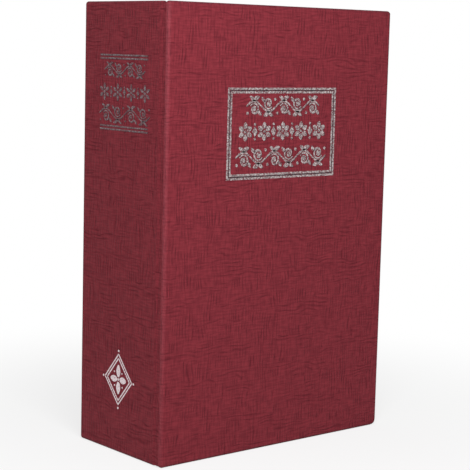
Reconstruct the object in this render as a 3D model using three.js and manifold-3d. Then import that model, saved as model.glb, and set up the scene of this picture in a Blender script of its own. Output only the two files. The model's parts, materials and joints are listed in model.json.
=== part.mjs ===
// A lockable steel cash box hidden in a false hardback book, standing upright as on a shelf.
// Millimetres, +Z up. X runs from the spine to the fore-edge, Y from the front cover to the back cover.
// The origin is the middle of the book's foot. Everything is drawn closed, with the lock turned open.
import * as THREE from "three";
import { mergeVertices } from "three/addons/utils/BufferGeometryUtils.js";
import Module from "manifold-3d";

const wasm = await Module();
wasm.setup();

// Overall size of the closed book
const bookWidth = 119;
const bookDepth = 55.5;
const bookHeight = 180;

// Case binding: grey board wrapped in one embossed paper
const coverPaper = 0.4;
const board = 2.2;
const liningPaper = 0.3;
const glueLine = 0.05;
const turnIn = 14;
const liningMargin = 4;
const edgeRound = 0.9;
const cornerAtHead = 1.4;
const cornerAtFoot = 3;
const cornerAtSpine = 1;
const creaseWidth = 1.2;
const creaseSlit = 0.1;
const coverSwingGap = 0.15;
const boardGap = 0.3;

// Moulded page block
const square = 3;
const blockWall = 2;
const blockCorner = 1.2;
const ribPitch = 1.2;
const ribDepth = 0.35;
const rimThickness = 2;
const rimWidth = 9.5;
const rimWidthAtSpine = 6.2;
const coverGap = 0.4;
const rebateWall = 1.5;
const ledgeThickness = 1.5;
const ledgeGap = 0.5;
const gussetThickness = 1.6;
const gussetGap = 0.4;
const gussetInset = 30;
const strapThickness = 4;
const strapWidth = 14;
const strapInset = 42;

// Steel lid and its hinge
const lidRecess = 1.4;
const lidSheet = 1;
const lidEdge = 5;
const lidCorner = 4;
const lidHingeCorner = 0.5;
const lidBend = 0.7;
const lidGap = 0.7;
const lidRestGap = 0.3;
const lidEdgeGap = 0.5;
const lidHingeGap = 0.4;
const knuckleRadius = 1.9;
const pinRadius = 0.9;
const pinGap = 0.1;
const pinHeadRadius = 1.5;
const pinHeadLength = 0.8;
const pinEndGap = 0.15;
const knuckleCount = 7;
const hingeLength = 118;
const knuckleGap = 0.3;
const barrelGap = 1.5;
const leafSheet = 0.8;
const leafDepth = 10;
const leafNotchGap = 0.4;

// Steel tray
const traySheet = 0.8;
const trayCorner = 3.2;
const trayLip = 5;
const trayHingeGap = 0.3;
const trayFootGap = 0.1;
const slotGap = 0.7;

// Screws that hold the tray to the page block
const screwShankRadius = 1.45;
const screwLength = 4.5;
const screwHeadRadius = 2.9;
const screwHeadHeight = 1.9;
const screwHoleGap = 0.2;
const screwSeatGap = 0.05;
const screwInset = 14;
const recessWidth = 0.7;
const recessDepth = 1;

// A pan head's outline, as shares of its radius and height
const crownReach = 0.55;
const shoulderReach = 0.88;
const shoulderDrop = 0.3;
const sideDrop = 0.75;
const recessReach = 0.6;

// Cam lock
const lockInset = 17.5;
const bezelRadius = 9;
const bezelHeight = 1.05;
const bezelChamfer = 0.63;
const housingRadius = 6;
const housingFlat = 5.6;
const housingLength = 14.5;
const plugHeadRadius = 5;
const plugHeadHeight = 1.2;
const plugHeadSink = 0.2;
const plugRadius = 4.5;
const plugGap = 0.2;
const seatGap = 0.05;
const lockWasherRadius = 8.2;
const lockWasherThickness = 0.7;
const nutAcrossFlats = 15;
const nutThickness = 2.8;
const threadGap = 0.15;
const keywayWidth = 1.6;
const keywayHeight = 6.4;
const keywayDepth = 10.8;
const waferCount = 4;
const waferPitch = 2.2;
const waferSheet = 0.6;
const waferWidth = 3.2;
const waferHeight = 8.4;
const waferGap = 0.1;
const waferWindowWidth = 2;
const waferWindowHeight = 5;
const firstWaferDepth = 2.7;
const camThickness = 1.5;
const camHubRadius = 5.5;
const camArmWidth = 8;
const camReach = 18;
const tailSquare = 4.6;
const camScrewRadius = 1.2;
const camScrewDepth = 4.9;
const camScrewHeadRadius = 3.4;
const camScrewHeadHeight = 1.8;
const camWasherRadius = 4.2;
const camWasherThickness = 0.5;

// How finely round shapes are drawn
const roundSteps = 32;
const smallRoundSteps = 20;
const cornerSteps = 3;
const bevelSteps = 2;
const overcut = 1;

// Planes of the case binding
const spineFace = -bookWidth / 2;
const foreEdge = bookWidth / 2;
const frontFace = -bookDepth / 2;
const backFace = bookDepth / 2;
const wrapped = 2 * coverPaper + 2 * glueLine + board;
const frontInside = frontFace + wrapped;
const backInside = backFace - wrapped;
const spineInside = spineFace + wrapped;
const spineStart = frontInside + creaseWidth;
const creaseLine = frontInside + creaseWidth / 2;
const frontLiningFace = frontInside + glueLine + liningPaper;
const backLiningFace = backInside - glueLine - liningPaper;
const spineLiningFace = spineInside + glueLine + liningPaper;

// Planes of the page block
const blockSpine = spineLiningFace + glueLine;
const blockFore = foreEdge - square;
const blockFoot = square;
const blockHead = bookHeight - square;
const blockFront = frontLiningFace + coverGap;
const blockBack = backLiningFace - glueLine;
const openSpine = blockSpine + rimWidthAtSpine;
const openFore = blockFore - rimWidth;
const openFoot = blockFoot + rimWidth;
const openHead = blockHead - rimWidth;
const middleHeight = (openFoot + openHead) / 2;
const strapHeights = [openFoot + strapInset, openHead - strapInset];

// Planes of the lid, its hinge and the tray
const lidFront = blockFront + lidRecess;
const lidInside = lidFront + lidSheet;
const lidEdgeEnd = lidFront + lidEdge;
const lidFore = openFore - lidGap;
const lidFoot = openFoot + lidGap;
const lidHead = openHead - lidGap;
const hingeX = openSpine + barrelGap + knuckleRadius;
const hingeY = lidFront + knuckleRadius;
const hingeFoot = middleHeight - hingeLength / 2;
const knucklePitch = hingeLength / knuckleCount;
const plateStart = hingeX + knuckleRadius + lidHingeGap;
const traySpine = hingeX + knuckleRadius + trayHingeGap;
const trayFore = lidFore - lidSheet - lidEdgeGap;
const trayFoot = lidFoot + lidSheet + lidEdgeGap;
const trayHead = lidHead - lidSheet - lidEdgeGap;
const trayFront = lidInside + lidRestGap;
const trayBack = blockBack - strapThickness - trayFootGap;
const trayFloor = trayBack - traySheet;
const leafFace = traySpine - glueLine;
const ledgeFront = lidEdgeEnd + ledgeGap;
const ledgeBack = ledgeFront + ledgeThickness;
const screwX = [traySpine + screwInset, trayFore - screwInset];

// Planes of the lock, whose axis runs along Y
const lockX = lidFore - lockInset;
const lockZ = middleHeight;
const bezelBack = lidFront - seatGap;
const bezelFront = bezelBack - bezelHeight;
const housingEnd = bezelBack + housingLength;
const plugFront = bezelFront + plugHeadSink;
const plugHeadEnd = plugFront + plugHeadHeight;
const plugEnd = housingEnd + seatGap;
const camFront = plugEnd + seatGap;
const camBack = camFront + camThickness;
const tailEnd = camBack - seatGap;
const camWasherFront = camBack + seatGap;
const camScrewSeat = camWasherFront + camWasherThickness + seatGap;
const washerFront = lidInside + seatGap;
const washerBack = washerFront + lockWasherThickness;
const nutFront = washerBack + seatGap;
const nutBack = nutFront + nutThickness;

// Turns a closed geometry into a solid that can be cut and joined.
function solidOf(geometry) {
  const bare = geometry.clone();
  bare.deleteAttribute("normal");
  bare.deleteAttribute("uv");
  const merged = mergeVertices(bare, 1e-4);
  const vertProperties = merged.attributes.position.array;
  const triVerts = new Uint32Array(merged.index.array);
  return new wasm.Manifold(new wasm.Mesh({ numProp: 3, vertProperties, triVerts }));
}

// Turns a solid back into a geometry.
function geometryOf(solid) {
  const mesh = solid.getMesh();
  const geometry = new THREE.BufferGeometry();
  geometry.setAttribute("position", new THREE.BufferAttribute(mesh.vertProperties, 3));
  geometry.setIndex(new THREE.BufferAttribute(mesh.triVerts, 1));
  geometry.computeVertexNormals();
  return geometry;
}

// A box between two corners.
function block(x0, y0, z0, x1, y1, z1) {
  const geometry = new THREE.BoxGeometry(x1 - x0, y1 - y0, z1 - z0);
  geometry.translate((x0 + x1) / 2, (y0 + y1) / 2, (z0 + z1) / 2);
  return solidOf(geometry);
}

// A rectangle with round corners. The radii go round from the spine's foot to the spine's head.
function roundedRectangle(x0, z0, x1, z1, radii) {
  const [spineFoot, foreFoot, foreHead, spineHead] = Array.isArray(radii) ? radii : Array(4).fill(radii);
  const shape = new THREE.Shape();
  shape.moveTo(x0 + spineFoot, z0);
  shape.lineTo(x1 - foreFoot, z0);
  shape.absarc(x1 - foreFoot, z0 + foreFoot, foreFoot, -Math.PI / 2, 0);
  shape.lineTo(x1, z1 - foreHead);
  shape.absarc(x1 - foreHead, z1 - foreHead, foreHead, 0, Math.PI / 2);
  shape.lineTo(x0 + spineHead, z1);
  shape.absarc(x0 + spineHead, z1 - spineHead, spineHead, Math.PI / 2, Math.PI);
  shape.lineTo(x0, z0 + spineFoot);
  shape.absarc(x0 + spineFoot, z0 + spineFoot, spineFoot, Math.PI, 1.5 * Math.PI);
  return shape;
}

// Extrudes a shape from depth 0 to its thickness, with its rims rounded inside its outline.
function roundedExtrusion(shape, thickness, round) {
  return new THREE.ExtrudeGeometry(shape, {
    depth: thickness - 2 * round,
    curveSegments: cornerSteps,
    bevelEnabled: round > 0,
    bevelThickness: round,
    bevelSize: round,
    bevelOffset: -round,
    bevelSegments: bevelSteps,
  }).translate(0, 0, round);
}

// A plate parallel to the covers: the shape is drawn in X and Z and runs from y0 to y1.
function plate(shape, y0, y1, round = 0) {
  const geometry = roundedExtrusion(shape, y1 - y0, round);
  return solidOf(geometry.rotateX(Math.PI / 2).translate(0, y1, 0));
}

// A plate parallel to the spine: the shape is drawn in Y and Z and runs from x0 to x1.
function spinePlate(shape, x0, x1, round = 0) {
  const geometry = roundedExtrusion(shape, x1 - x0, round);
  const turn = new THREE.Matrix4().makeBasis(
    new THREE.Vector3(0, 1, 0),
    new THREE.Vector3(0, 0, 1),
    new THREE.Vector3(1, 0, 0),
  );
  return solidOf(geometry.applyMatrix4(turn).translate(x0, 0, 0));
}

// A round bar along Z.
function uprightRod(x, y, radius, z0, z1, steps = smallRoundSteps) {
  const geometry = new THREE.CylinderGeometry(radius, radius, z1 - z0, steps);
  return solidOf(geometry.rotateX(Math.PI / 2).translate(x, y, (z0 + z1) / 2));
}

// A turned piece on an axis along Y. The profile's points are [radius, y], from the front to the back.
function turned(profile, x, z, steps = roundSteps) {
  const points = profile.map(([radius, y]) => new THREE.Vector2(radius, y));
  const geometry = new THREE.LatheGeometry(points, steps);
  return solidOf(geometry.translate(x, 0, z));
}

// A plain disc or rod on an axis along Y.
function disc(radius, y0, y1, x, z, steps = roundSteps) {
  return turned(
    [
      [0, y0],
      [radius, y0],
      [radius, y1],
      [0, y1],
    ],
    x,
    z,
    steps,
  );
}

// A wrapped cover is this slab. The board is the same slab drawn in by the paper and the glue.
function coverShape(x0, x1, inset) {
  const radii = [cornerAtSpine, cornerAtFoot, cornerAtHead, cornerAtSpine];
  return roundedRectangle(
    x0 + inset,
    inset,
    x1 - inset,
    bookHeight - inset,
    radii.map((radius) => radius - inset),
  );
}

const boardInset = coverPaper + glueLine;
const coverStart = spineFace + coverSwingGap;

// Front cover
function frontCoverBoard(growth = 0) {
  const inset = boardInset - growth;
  const shape = coverShape(coverStart, foreEdge, inset);
  return plate(shape, frontFace + inset, frontInside - inset, edgeRound - inset);
}

function frontCoverWrap() {
  const slab = plate(coverShape(coverStart, foreEdge, 0), frontFace, frontInside, edgeRound);
  const window = block(
    coverStart + coverPaper,
    frontInside - boardInset,
    turnIn,
    foreEdge - turnIn,
    frontInside + overcut,
    bookHeight - turnIn,
  );
  const flap = block(
    coverStart,
    frontFace + edgeRound,
    cornerAtSpine,
    coverStart + coverPaper,
    creaseLine - creaseSlit / 2,
    bookHeight - cornerAtSpine,
  );
  return slab.add(flap).subtract(frontCoverBoard(glueLine)).subtract(window);
}

function frontLining() {
  const shape = roundedRectangle(
    coverStart + coverPaper + glueLine,
    liningMargin,
    foreEdge - liningMargin,
    bookHeight - liningMargin,
    cornerAtSpine,
  );
  return plate(shape, frontInside + glueLine, frontLiningFace);
}

// Spine and back cover
function backCoverBoard(growth = 0) {
  const inset = boardInset - growth;
  const shape = coverShape(spineFace, foreEdge, inset);
  return plate(shape, backInside + inset, backFace - inset, edgeRound - inset);
}

function spineBoard(growth = 0) {
  const inset = boardInset - growth;
  const end = backInside + boardInset - boardGap + growth;
  const shape = roundedRectangle(
    spineStart + inset,
    inset,
    end,
    bookHeight - inset,
    cornerAtSpine - inset,
  );
  return spinePlate(shape, spineFace + inset, spineInside - inset, edgeRound - inset);
}

function caseWrap() {
  const back = plate(coverShape(spineFace, foreEdge, 0), backInside, backFace, edgeRound);
  const spineShape = roundedRectangle(spineStart, 0, backFace, bookHeight, cornerAtSpine);
  const spine = spinePlate(spineShape, spineFace, spineInside, edgeRound);
  const flap = block(
    spineFace,
    creaseLine + creaseSlit / 2,
    cornerAtSpine,
    spineFace + coverPaper,
    backFace - edgeRound,
    bookHeight - cornerAtSpine,
  );
  const backWindow = block(
    spineInside,
    backInside - overcut,
    turnIn,
    foreEdge - turnIn,
    backInside + boardInset,
    bookHeight - turnIn,
  );
  const spineWindow = block(
    spineInside - boardInset,
    spineStart + boardInset,
    turnIn,
    spineInside + overcut,
    backInside - boardGap,
    bookHeight - turnIn,
  );
  return back
    .add(spine)
    .add(flap)
    .subtract(backCoverBoard(glueLine))
    .subtract(spineBoard(glueLine))
    .subtract(backWindow)
    .subtract(spineWindow);
}

function backLining() {
  const shape = roundedRectangle(
    spineLiningFace + boardGap,
    liningMargin,
    foreEdge - liningMargin,
    bookHeight - liningMargin,
    cornerAtSpine,
  );
  return plate(shape, backLiningFace, backInside - glueLine);
}

function spineLining() {
  const shape = roundedRectangle(
    spineStart + boardGap,
    liningMargin,
    backLiningFace - boardGap,
    bookHeight - liningMargin,
    cornerAtSpine,
  );
  return spinePlate(shape, spineInside + glueLine, spineLiningFace);
}

// The page block's outside: a stack of rings that step in and out by one rib, like the edges of leaves.
function ribbedBlock() {
  const ribCount = Math.round((blockBack - blockFront) / ribPitch);
  const ringStep = (blockBack - blockFront) / (2 * ribCount);
  const positions = [];
  const indices = [];
  const ringAt = (y, inset) => {
    const fore = blockFore - inset;
    const foot = blockFoot + inset;
    const head = blockHead - inset;
    const cut = blockCorner;
    return [
      [blockSpine, foot],
      [fore - cut, foot],
      [fore, foot + cut],
      [fore, head - cut],
      [fore - cut, head],
      [blockSpine, head],
    ].map(([x, z]) => [x, y, z]);
  };
  const rings = [];
  for (let i = 0; i <= 2 * ribCount; i++) {
    rings.push(ringAt(blockFront + i * ringStep, i % 2 === 0 ? ribDepth : 0));
  }
  rings.forEach((ring) => ring.forEach((point) => positions.push(...point)));
  const sides = rings[0].length;
  for (let r = 0; r + 1 < rings.length; r++) {
    for (let s = 0; s < sides; s++) {
      const a = r * sides + s;
      const b = r * sides + ((s + 1) % sides);
      indices.push(a, b, a + sides, b, b + sides, a + sides);
    }
  }
  const last = (rings.length - 1) * sides;
  for (let s = 1; s + 1 < sides; s++) {
    indices.push(0, s + 1, s);
    indices.push(last, last + s, last + s + 1);
  }
  const geometry = new THREE.BufferGeometry();
  geometry.setAttribute("position", new THREE.Float32BufferAttribute(positions, 3));
  geometry.setIndex(indices);
  const made = solidOf(geometry);
  return made.volume() < 0 ? solidOf(geometry.setIndex(indices.toReversed())) : made;
}

// A frame between two rectangles in X and Z.
function frame(outer, inner, y0, y1) {
  const hole = block(inner[0], y0 - overcut, inner[1], inner[2], y1 + overcut, inner[3]);
  return block(outer[0], y0, outer[1], outer[2], y1, outer[3]).subtract(hole);
}

function pageBlock() {
  const wallSpine = blockSpine + blockWall;
  const wallFore = blockFore - blockWall;
  const wallFoot = blockFoot + blockWall;
  const wallHead = blockHead - blockWall;
  const hollow = block(
    wallSpine,
    blockFront + rimThickness,
    wallFoot,
    wallFore,
    blockBack + overcut,
    wallHead,
  );
  const opening = block(
    openSpine,
    blockFront - overcut,
    openFoot,
    openFore,
    blockFront + rimThickness + overcut,
    openHead,
  );
  let made = ribbedBlock().subtract(hollow).subtract(opening);

  // The rebate that takes the lid's turned-down edge
  const rebateOuter = [
    openSpine - rebateWall,
    openFoot - rebateWall,
    openFore + rebateWall,
    openHead + rebateWall,
  ];
  const rebateInner = [openSpine, openFoot, openFore, openHead];
  const ledgeInner = [
    leafFace - leafSheet - ledgeGap,
    trayFoot - ledgeGap,
    trayFore + ledgeGap,
    trayHead + ledgeGap,
  ];
  made = made.add(frame(rebateOuter, rebateInner, blockFront + rimThickness / 2, ledgeBack));
  made = made.add(frame(rebateOuter, ledgeInner, ledgeFront, ledgeBack));

  // Straps behind the tray, which take its screws
  for (const z of strapHeights) {
    const z0 = z - strapWidth / 2;
    const z1 = z + strapWidth / 2;
    const y0 = blockBack - strapThickness;
    made = made.add(block(wallSpine - overcut, y0, z0, wallFore + overcut, blockBack, z1));
    for (const x of screwX) {
      made = made.subtract(screwHole(x, z, y0, blockBack));
    }
  }

  // Gussets that centre the tray in the block
  const half = gussetThickness / 2;
  const gussetFront = ledgeBack - half;
  const rimBack = blockFront + rimThickness / 2;
  for (const z of [openFoot + gussetInset, openHead - gussetInset]) {
    const level = (x0, y0, x1) => block(x0, y0, z - half, x1, blockBack, z + half);
    made = made.add(level(wallSpine - half, gussetFront, leafFace - leafSheet - gussetGap));
    made = made.add(level(trayFore + gussetGap, gussetFront, wallFore + half));
    made = made.add(level(openFore + half, rimBack, wallFore + half));
  }
  for (const x of [openSpine + gussetInset, openFore - gussetInset]) {
    const upright = (z0, z1) => block(x - half, gussetFront, z0, x + half, blockBack, z1);
    made = made.add(upright(wallFoot - half, trayFoot - gussetGap));
    made = made.add(upright(trayHead + gussetGap, wallHead + half));
  }
  return made;
}

// A hole for the shank of one of the tray's screws
function screwHole(x, z, y0, y1) {
  const radius = screwShankRadius + screwHoleGap;
  return disc(radius, y0 - overcut, y1 + overcut, x, z, smallRoundSteps);
}

// Steel tray with a lip turned in round its mouth
function steelTray() {
  const outer = roundedRectangle(traySpine, trayFoot, trayFore, trayHead, trayCorner);
  const inner = roundedRectangle(
    traySpine + traySheet,
    trayFoot + traySheet,
    trayFore - traySheet,
    trayHead - traySheet,
    trayCorner - traySheet,
  );
  const mouth = roundedRectangle(
    traySpine + trayLip,
    trayFoot + trayLip,
    trayFore - trayLip,
    trayHead - trayLip,
    trayCorner,
  );
  const slot = block(
    trayFore - traySheet - overcut,
    camFront - slotGap,
    lockZ - camArmWidth / 2 - slotGap,
    trayFore + overcut,
    camBack + slotGap,
    lockZ + camSweep() + slotGap,
  );
  let made = plate(outer, trayFront, trayBack)
    .subtract(plate(inner, trayFront + traySheet, trayFloor))
    .subtract(plate(mouth, trayFront - overcut, trayFront + traySheet + overcut))
    .subtract(slot);
  for (const z of strapHeights) {
    for (const x of screwX) {
      made = made.subtract(screwHole(x, z, trayFloor, trayBack));
    }
  }
  return made;
}

// How far above the lock's axis the cam's nose still crosses the tray's wall as it turns.
function camSweep() {
  const noseRadius = camArmWidth / 2;
  const nose = camReach - noseRadius;
  const wall = trayFore - traySheet - lockX;
  let highest = noseRadius;
  for (let degree = 0; degree <= 90; degree++) {
    const angle = THREE.MathUtils.degToRad(degree);
    const short = Math.max(0, wall - nose * Math.cos(angle));
    if (short < noseRadius) {
      highest = Math.max(highest, nose * Math.sin(angle) + Math.sqrt(noseRadius ** 2 - short ** 2));
    }
  }
  return highest;
}

// Pan-head screw with a cross recess, its axis along Y and its head towards the front
function panScrew(x, z, seat, shankRadius, length, headRadius, headHeight) {
  const top = seat - headHeight;
  const body = turned(
    [
      [0, top],
      [headRadius * crownReach, top],
      [headRadius * shoulderReach, top + headHeight * shoulderDrop],
      [headRadius, top + headHeight * sideDrop],
      [headRadius, seat],
      [shankRadius, seat],
      [shankRadius, seat + length - shankRadius],
      [0, seat + length],
    ],
    x,
    z,
    smallRoundSteps,
  );
  const arm = headRadius * recessReach;
  const half = recessWidth / 2;
  const floor = top + recessDepth;
  const across = block(x - arm, top - overcut, z - half, x + arm, floor, z + half);
  const along = block(x - half, top - overcut, z - arm, x + half, floor, z + arm);
  return body.subtract(across).subtract(along);
}

// The cam's screw is the same screw turned round, with its head towards the back.
function camScrew() {
  const made = panScrew(0, 0, 0, camScrewRadius, camScrewDepth, camScrewHeadRadius, camScrewHeadHeight);
  return made.rotate([0, 0, 180]).translate([lockX, camScrewSeat, lockZ]);
}

// Knuckles of one leaf of the hinge: every second one, starting at first
function knuckles(first) {
  let made = null;
  for (let i = first; i < knuckleCount; i += 2) {
    const z0 = hingeFoot + i * knucklePitch + knuckleGap / 2;
    const z1 = hingeFoot + (i + 1) * knucklePitch - knuckleGap / 2;
    const knuckle = uprightRod(hingeX, hingeY, knuckleRadius, z0, z1);
    made = made ? made.add(knuckle) : knuckle;
  }
  return made;
}

function hingeBore() {
  const radius = pinRadius + pinGap;
  return uprightRod(hingeX, hingeY, radius, hingeFoot - overcut, hingeFoot + hingeLength + overcut);
}

function trayHingeLeaf() {
  let leaf = block(
    leafFace - leafSheet,
    hingeY,
    hingeFoot + knuckleGap / 2,
    leafFace,
    hingeY + leafDepth,
    hingeFoot + hingeLength - knuckleGap / 2,
  );
  const reach = knuckleRadius + leafNotchGap;
  for (let i = 1; i < knuckleCount; i += 2) {
    const z0 = hingeFoot + i * knucklePitch - knuckleGap / 2;
    const z1 = z0 + knucklePitch + knuckleGap;
    leaf = leaf.subtract(
      block(hingeX - reach, hingeY - reach, z0, leafFace + overcut, hingeY + reach, z1),
    );
  }
  return leaf.add(knuckles(0)).subtract(hingeBore());
}

function hingePin() {
  const foot = hingeFoot - pinEndGap;
  const head = hingeFoot + hingeLength + pinEndGap;
  return uprightRod(hingeX, hingeY, pinRadius, foot - pinHeadLength, head + pinHeadLength)
    .add(uprightRod(hingeX, hingeY, pinHeadRadius, foot - pinHeadLength, foot))
    .add(uprightRod(hingeX, hingeY, pinHeadRadius, head, head + pinHeadLength));
}

// Folded lid: a plate with three edges turned down and the hinge's knuckles rolled from the fourth
function lidPanel() {
  const radii = [lidHingeCorner, lidCorner, lidCorner, lidHingeCorner].map((radius) => radius + lidBend);
  const shape = roundedRectangle(plateStart, lidFoot, lidFore, lidHead, radii);
  const pan = plate(shape, lidFront, lidEdgeEnd + 2 * lidBend, lidBend);
  const trim = block(
    plateStart - overcut,
    lidEdgeEnd,
    lidFoot - overcut,
    lidFore + overcut,
    lidEdgeEnd + 3 * lidBend,
    lidHead + overcut,
  );
  const innerShape = roundedRectangle(
    plateStart - lidCorner,
    lidFoot + lidSheet,
    lidFore - lidSheet,
    lidHead - lidSheet,
    lidCorner - lidSheet,
  );
  const inner = plate(innerShape, lidInside, lidEdgeEnd + overcut);
  let made = pan.subtract(trim).subtract(inner);
  for (let i = 1; i < knuckleCount; i += 2) {
    const z0 = hingeFoot + i * knucklePitch + knuckleGap / 2;
    const z1 = hingeFoot + (i + 1) * knucklePitch - knuckleGap / 2;
    made = made.add(block(hingeX, lidFront, z0, plateStart + lidBend + overcut, lidInside, z1));
  }
  const lockHole = doubleD(
    housingRadius + threadGap,
    housingFlat + threadGap,
    lidFront - overcut,
    lidInside + overcut,
  );
  return made.add(knuckles(1)).subtract(hingeBore()).subtract(lockHole);
}

// A round bar with two flats, on the lock's axis
function doubleD(radius, flat, y0, y1) {
  const bar = disc(radius, y0, y1, lockX, lockZ);
  const room = block(
    lockX - flat,
    y0 - overcut,
    lockZ - radius - overcut,
    lockX + flat,
    y1 + overcut,
    lockZ + radius + overcut,
  );
  return bar.intersect(room);
}

// Lock housing: a bezel in front of the lid and a barrel with two flats behind it
function lockHousing() {
  const bezel = turned(
    [
      [0, bezelFront],
      [bezelRadius - bezelChamfer, bezelFront],
      [bezelRadius, bezelFront + bezelChamfer],
      [bezelRadius, bezelBack],
      [0, bezelBack],
    ],
    lockX,
    lockZ,
  );
  const barrel = doubleD(housingRadius, housingFlat, bezelBack - bezelHeight / 2, housingEnd);
  const headRoom = plugHeadRadius + plugGap;
  const counterbore = disc(headRoom, bezelFront - overcut, plugHeadEnd + plugGap, lockX, lockZ);
  const bore = disc(plugRadius + plugGap, bezelFront, housingEnd + overcut, lockX, lockZ);
  return bezel.add(barrel).subtract(counterbore).subtract(bore);
}

// A flat ring on the lock's axis
function ring(outer, inner, y0, y1) {
  const hole = disc(inner, y0 - overcut, y1 + overcut, lockX, lockZ);
  return disc(outer, y0, y1, lockX, lockZ).subtract(hole);
}

function lockWasher() {
  return ring(lockWasherRadius, housingRadius + threadGap, washerFront, washerBack);
}

function camWasher() {
  const back = camScrewSeat - seatGap;
  return ring(camWasherRadius, camScrewRadius + threadGap, camWasherFront, back);
}

function lockNut() {
  const corner = nutAcrossFlats / 2 / Math.cos(Math.PI / 6);
  const hexagon = disc(corner, nutFront, nutBack, lockX, lockZ, 6);
  const thread = disc(housingRadius + threadGap, nutFront - overcut, nutBack + overcut, lockX, lockZ);
  return hexagon.subtract(thread);
}

// Plug: a head, a barrel with the keyway and the wafers' slots, and a square tail for the cam
function lockPlug() {
  const barrel = turned(
    [
      [0, plugFront],
      [plugHeadRadius, plugFront],
      [plugHeadRadius, plugHeadEnd],
      [plugRadius, plugHeadEnd],
      [plugRadius, plugEnd],
      [0, plugEnd],
    ],
    lockX,
    lockZ,
  );
  const side = tailSquare / 2;
  const tail = block(lockX - side, plugEnd - overcut, lockZ - side, lockX + side, tailEnd, lockZ + side);
  const keyway = block(
    lockX - keywayWidth / 2,
    plugFront - overcut,
    lockZ - keywayHeight / 2,
    lockX + keywayWidth / 2,
    plugFront + keywayDepth,
    lockZ + keywayHeight / 2,
  );
  const tapping = disc(
    camScrewRadius + threadGap,
    camScrewSeat - camScrewDepth - threadGap,
    tailEnd + overcut,
    lockX,
    lockZ,
    smallRoundSteps,
  );
  let made = barrel.add(tail).subtract(keyway).subtract(tapping);
  for (let i = 0; i < waferCount; i++) {
    const y = waferPlace(i);
    const half = waferWidth / 2 + waferGap;
    made = made.subtract(
      block(
        lockX - half,
        y - waferGap,
        lockZ - plugRadius - overcut,
        lockX + half,
        y + waferSheet + waferGap,
        lockZ + plugRadius + overcut,
      ),
    );
  }
  return made;
}

function waferPlace(index) {
  return plugHeadEnd + firstWaferDepth + index * waferPitch;
}

// One wafer: a plate with a window for the key
function lockWafer(index) {
  const y = waferPlace(index);
  const outer = [waferWidth / 2, waferHeight / 2];
  const inner = [waferWindowWidth / 2, waferWindowHeight / 2];
  const rectangle = ([x, z]) => [lockX - x, lockZ - z, lockX + x, lockZ + z];
  return frame(rectangle(outer), rectangle(inner), y, y + waferSheet);
}

// Cam: it points up while the lock is open and to the fore-edge while it is locked.
function lockCam() {
  const arm = camArmWidth / 2;
  const meet = Math.acos(arm / camHubRadius);
  const shape = new THREE.Shape();
  shape.absarc(lockX, lockZ + camReach - arm, arm, 0, Math.PI);
  shape.absarc(lockX, lockZ, camHubRadius, Math.PI - meet, meet);
  const geometry = new THREE.ExtrudeGeometry(shape, {
    depth: camThickness,
    curveSegments: smallRoundSteps,
    bevelEnabled: false,
  });
  const blank = solidOf(geometry.rotateX(Math.PI / 2).translate(0, camBack, 0));
  const side = tailSquare / 2 + threadGap;
  const hole = block(
    lockX - side,
    camFront - overcut,
    lockZ - side,
    lockX + side,
    camBack + overcut,
    lockZ + side,
  );
  return blank.subtract(hole);
}

// Finishes
const finishes = {
  cover_paper: new THREE.MeshStandardMaterial({ color: 0x82303a, roughness: 0.62, metalness: 0 }),
  grey_board: new THREE.MeshStandardMaterial({ color: 0x9a948a, roughness: 0.9, metalness: 0 }),
  lining_paper: new THREE.MeshStandardMaterial({ color: 0x6e2630, roughness: 0.75, metalness: 0 }),
  page_plastic: new THREE.MeshStandardMaterial({ color: 0xe9e0cb, roughness: 0.55, metalness: 0 }),
  black_steel: new THREE.MeshStandardMaterial({ color: 0x1c1c1e, roughness: 0.5, metalness: 0 }),
  zinc_steel: new THREE.MeshStandardMaterial({ color: 0xb9bcc0, roughness: 0.35, metalness: 1 }),
  nickel: new THREE.MeshStandardMaterial({ color: 0xc9c6bf, roughness: 0.2, metalness: 1 }),
  brass: new THREE.MeshStandardMaterial({ color: 0xc9a25a, roughness: 0.3, metalness: 1 }),
};

const safe = new THREE.Group();

function add(name, solid, finish) {
  const mesh = new THREE.Mesh(geometryOf(solid), finishes[finish]);
  mesh.name = name;
  safe.add(mesh);
}

add("front_cover_board", frontCoverBoard(), "grey_board");
add("front_cover_wrap", frontCoverWrap(), "cover_paper");
add("front_lining", frontLining(), "lining_paper");
add("spine_board", spineBoard(), "grey_board");
add("back_cover_board", backCoverBoard(), "grey_board");
add("spine_and_back_wrap", caseWrap(), "cover_paper");
add("spine_lining", spineLining(), "lining_paper");
add("back_lining", backLining(), "lining_paper");
add("page_block", pageBlock(), "page_plastic");
add("steel_tray", steelTray(), "black_steel");
add("tray_hinge_leaf", trayHingeLeaf(), "black_steel");
add("hinge_pin", hingePin(), "zinc_steel");
add("lid_panel", lidPanel(), "black_steel");
add("lock_housing", lockHousing(), "nickel");
add("lock_washer", lockWasher(), "zinc_steel");
add("lock_nut", lockNut(), "zinc_steel");
add("lock_plug", lockPlug(), "nickel");
for (let i = 0; i < waferCount; i++) {
  add(`lock_wafer_${i + 1}`, lockWafer(i), "brass");
}
add("lock_cam", lockCam(), "zinc_steel");
add("cam_washer", camWasher(), "zinc_steel");
add("cam_screw", camScrew(), "zinc_steel");

let screwNumber = 0;
for (const z of strapHeights) {
  for (const x of screwX) {
    screwNumber += 1;
    const seat = trayFloor - screwSeatGap;
    const screw = panScrew(x, z, seat, screwShankRadius, screwLength, screwHeadRadius, screwHeadHeight);
    add(`tray_screw_${screwNumber}`, screw, "zinc_steel");
  }
}

export default safe;
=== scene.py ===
"""Dresses a lockable cash box that hides in a false hardback book.

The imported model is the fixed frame: it says what turns, where each piece sits and how large it is.
This script adds what the eye sees: embossed binding paper, hot foil, moulded page edges, powder-coated
sheet steel and plated lock parts. Lengths are in millimetres where nothing else is said.
"""

import json
import logging
import math
from dataclasses import dataclass, field
from enum import Enum
from itertools import accumulate
from typing import Callable, Optional, Sequence

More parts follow.
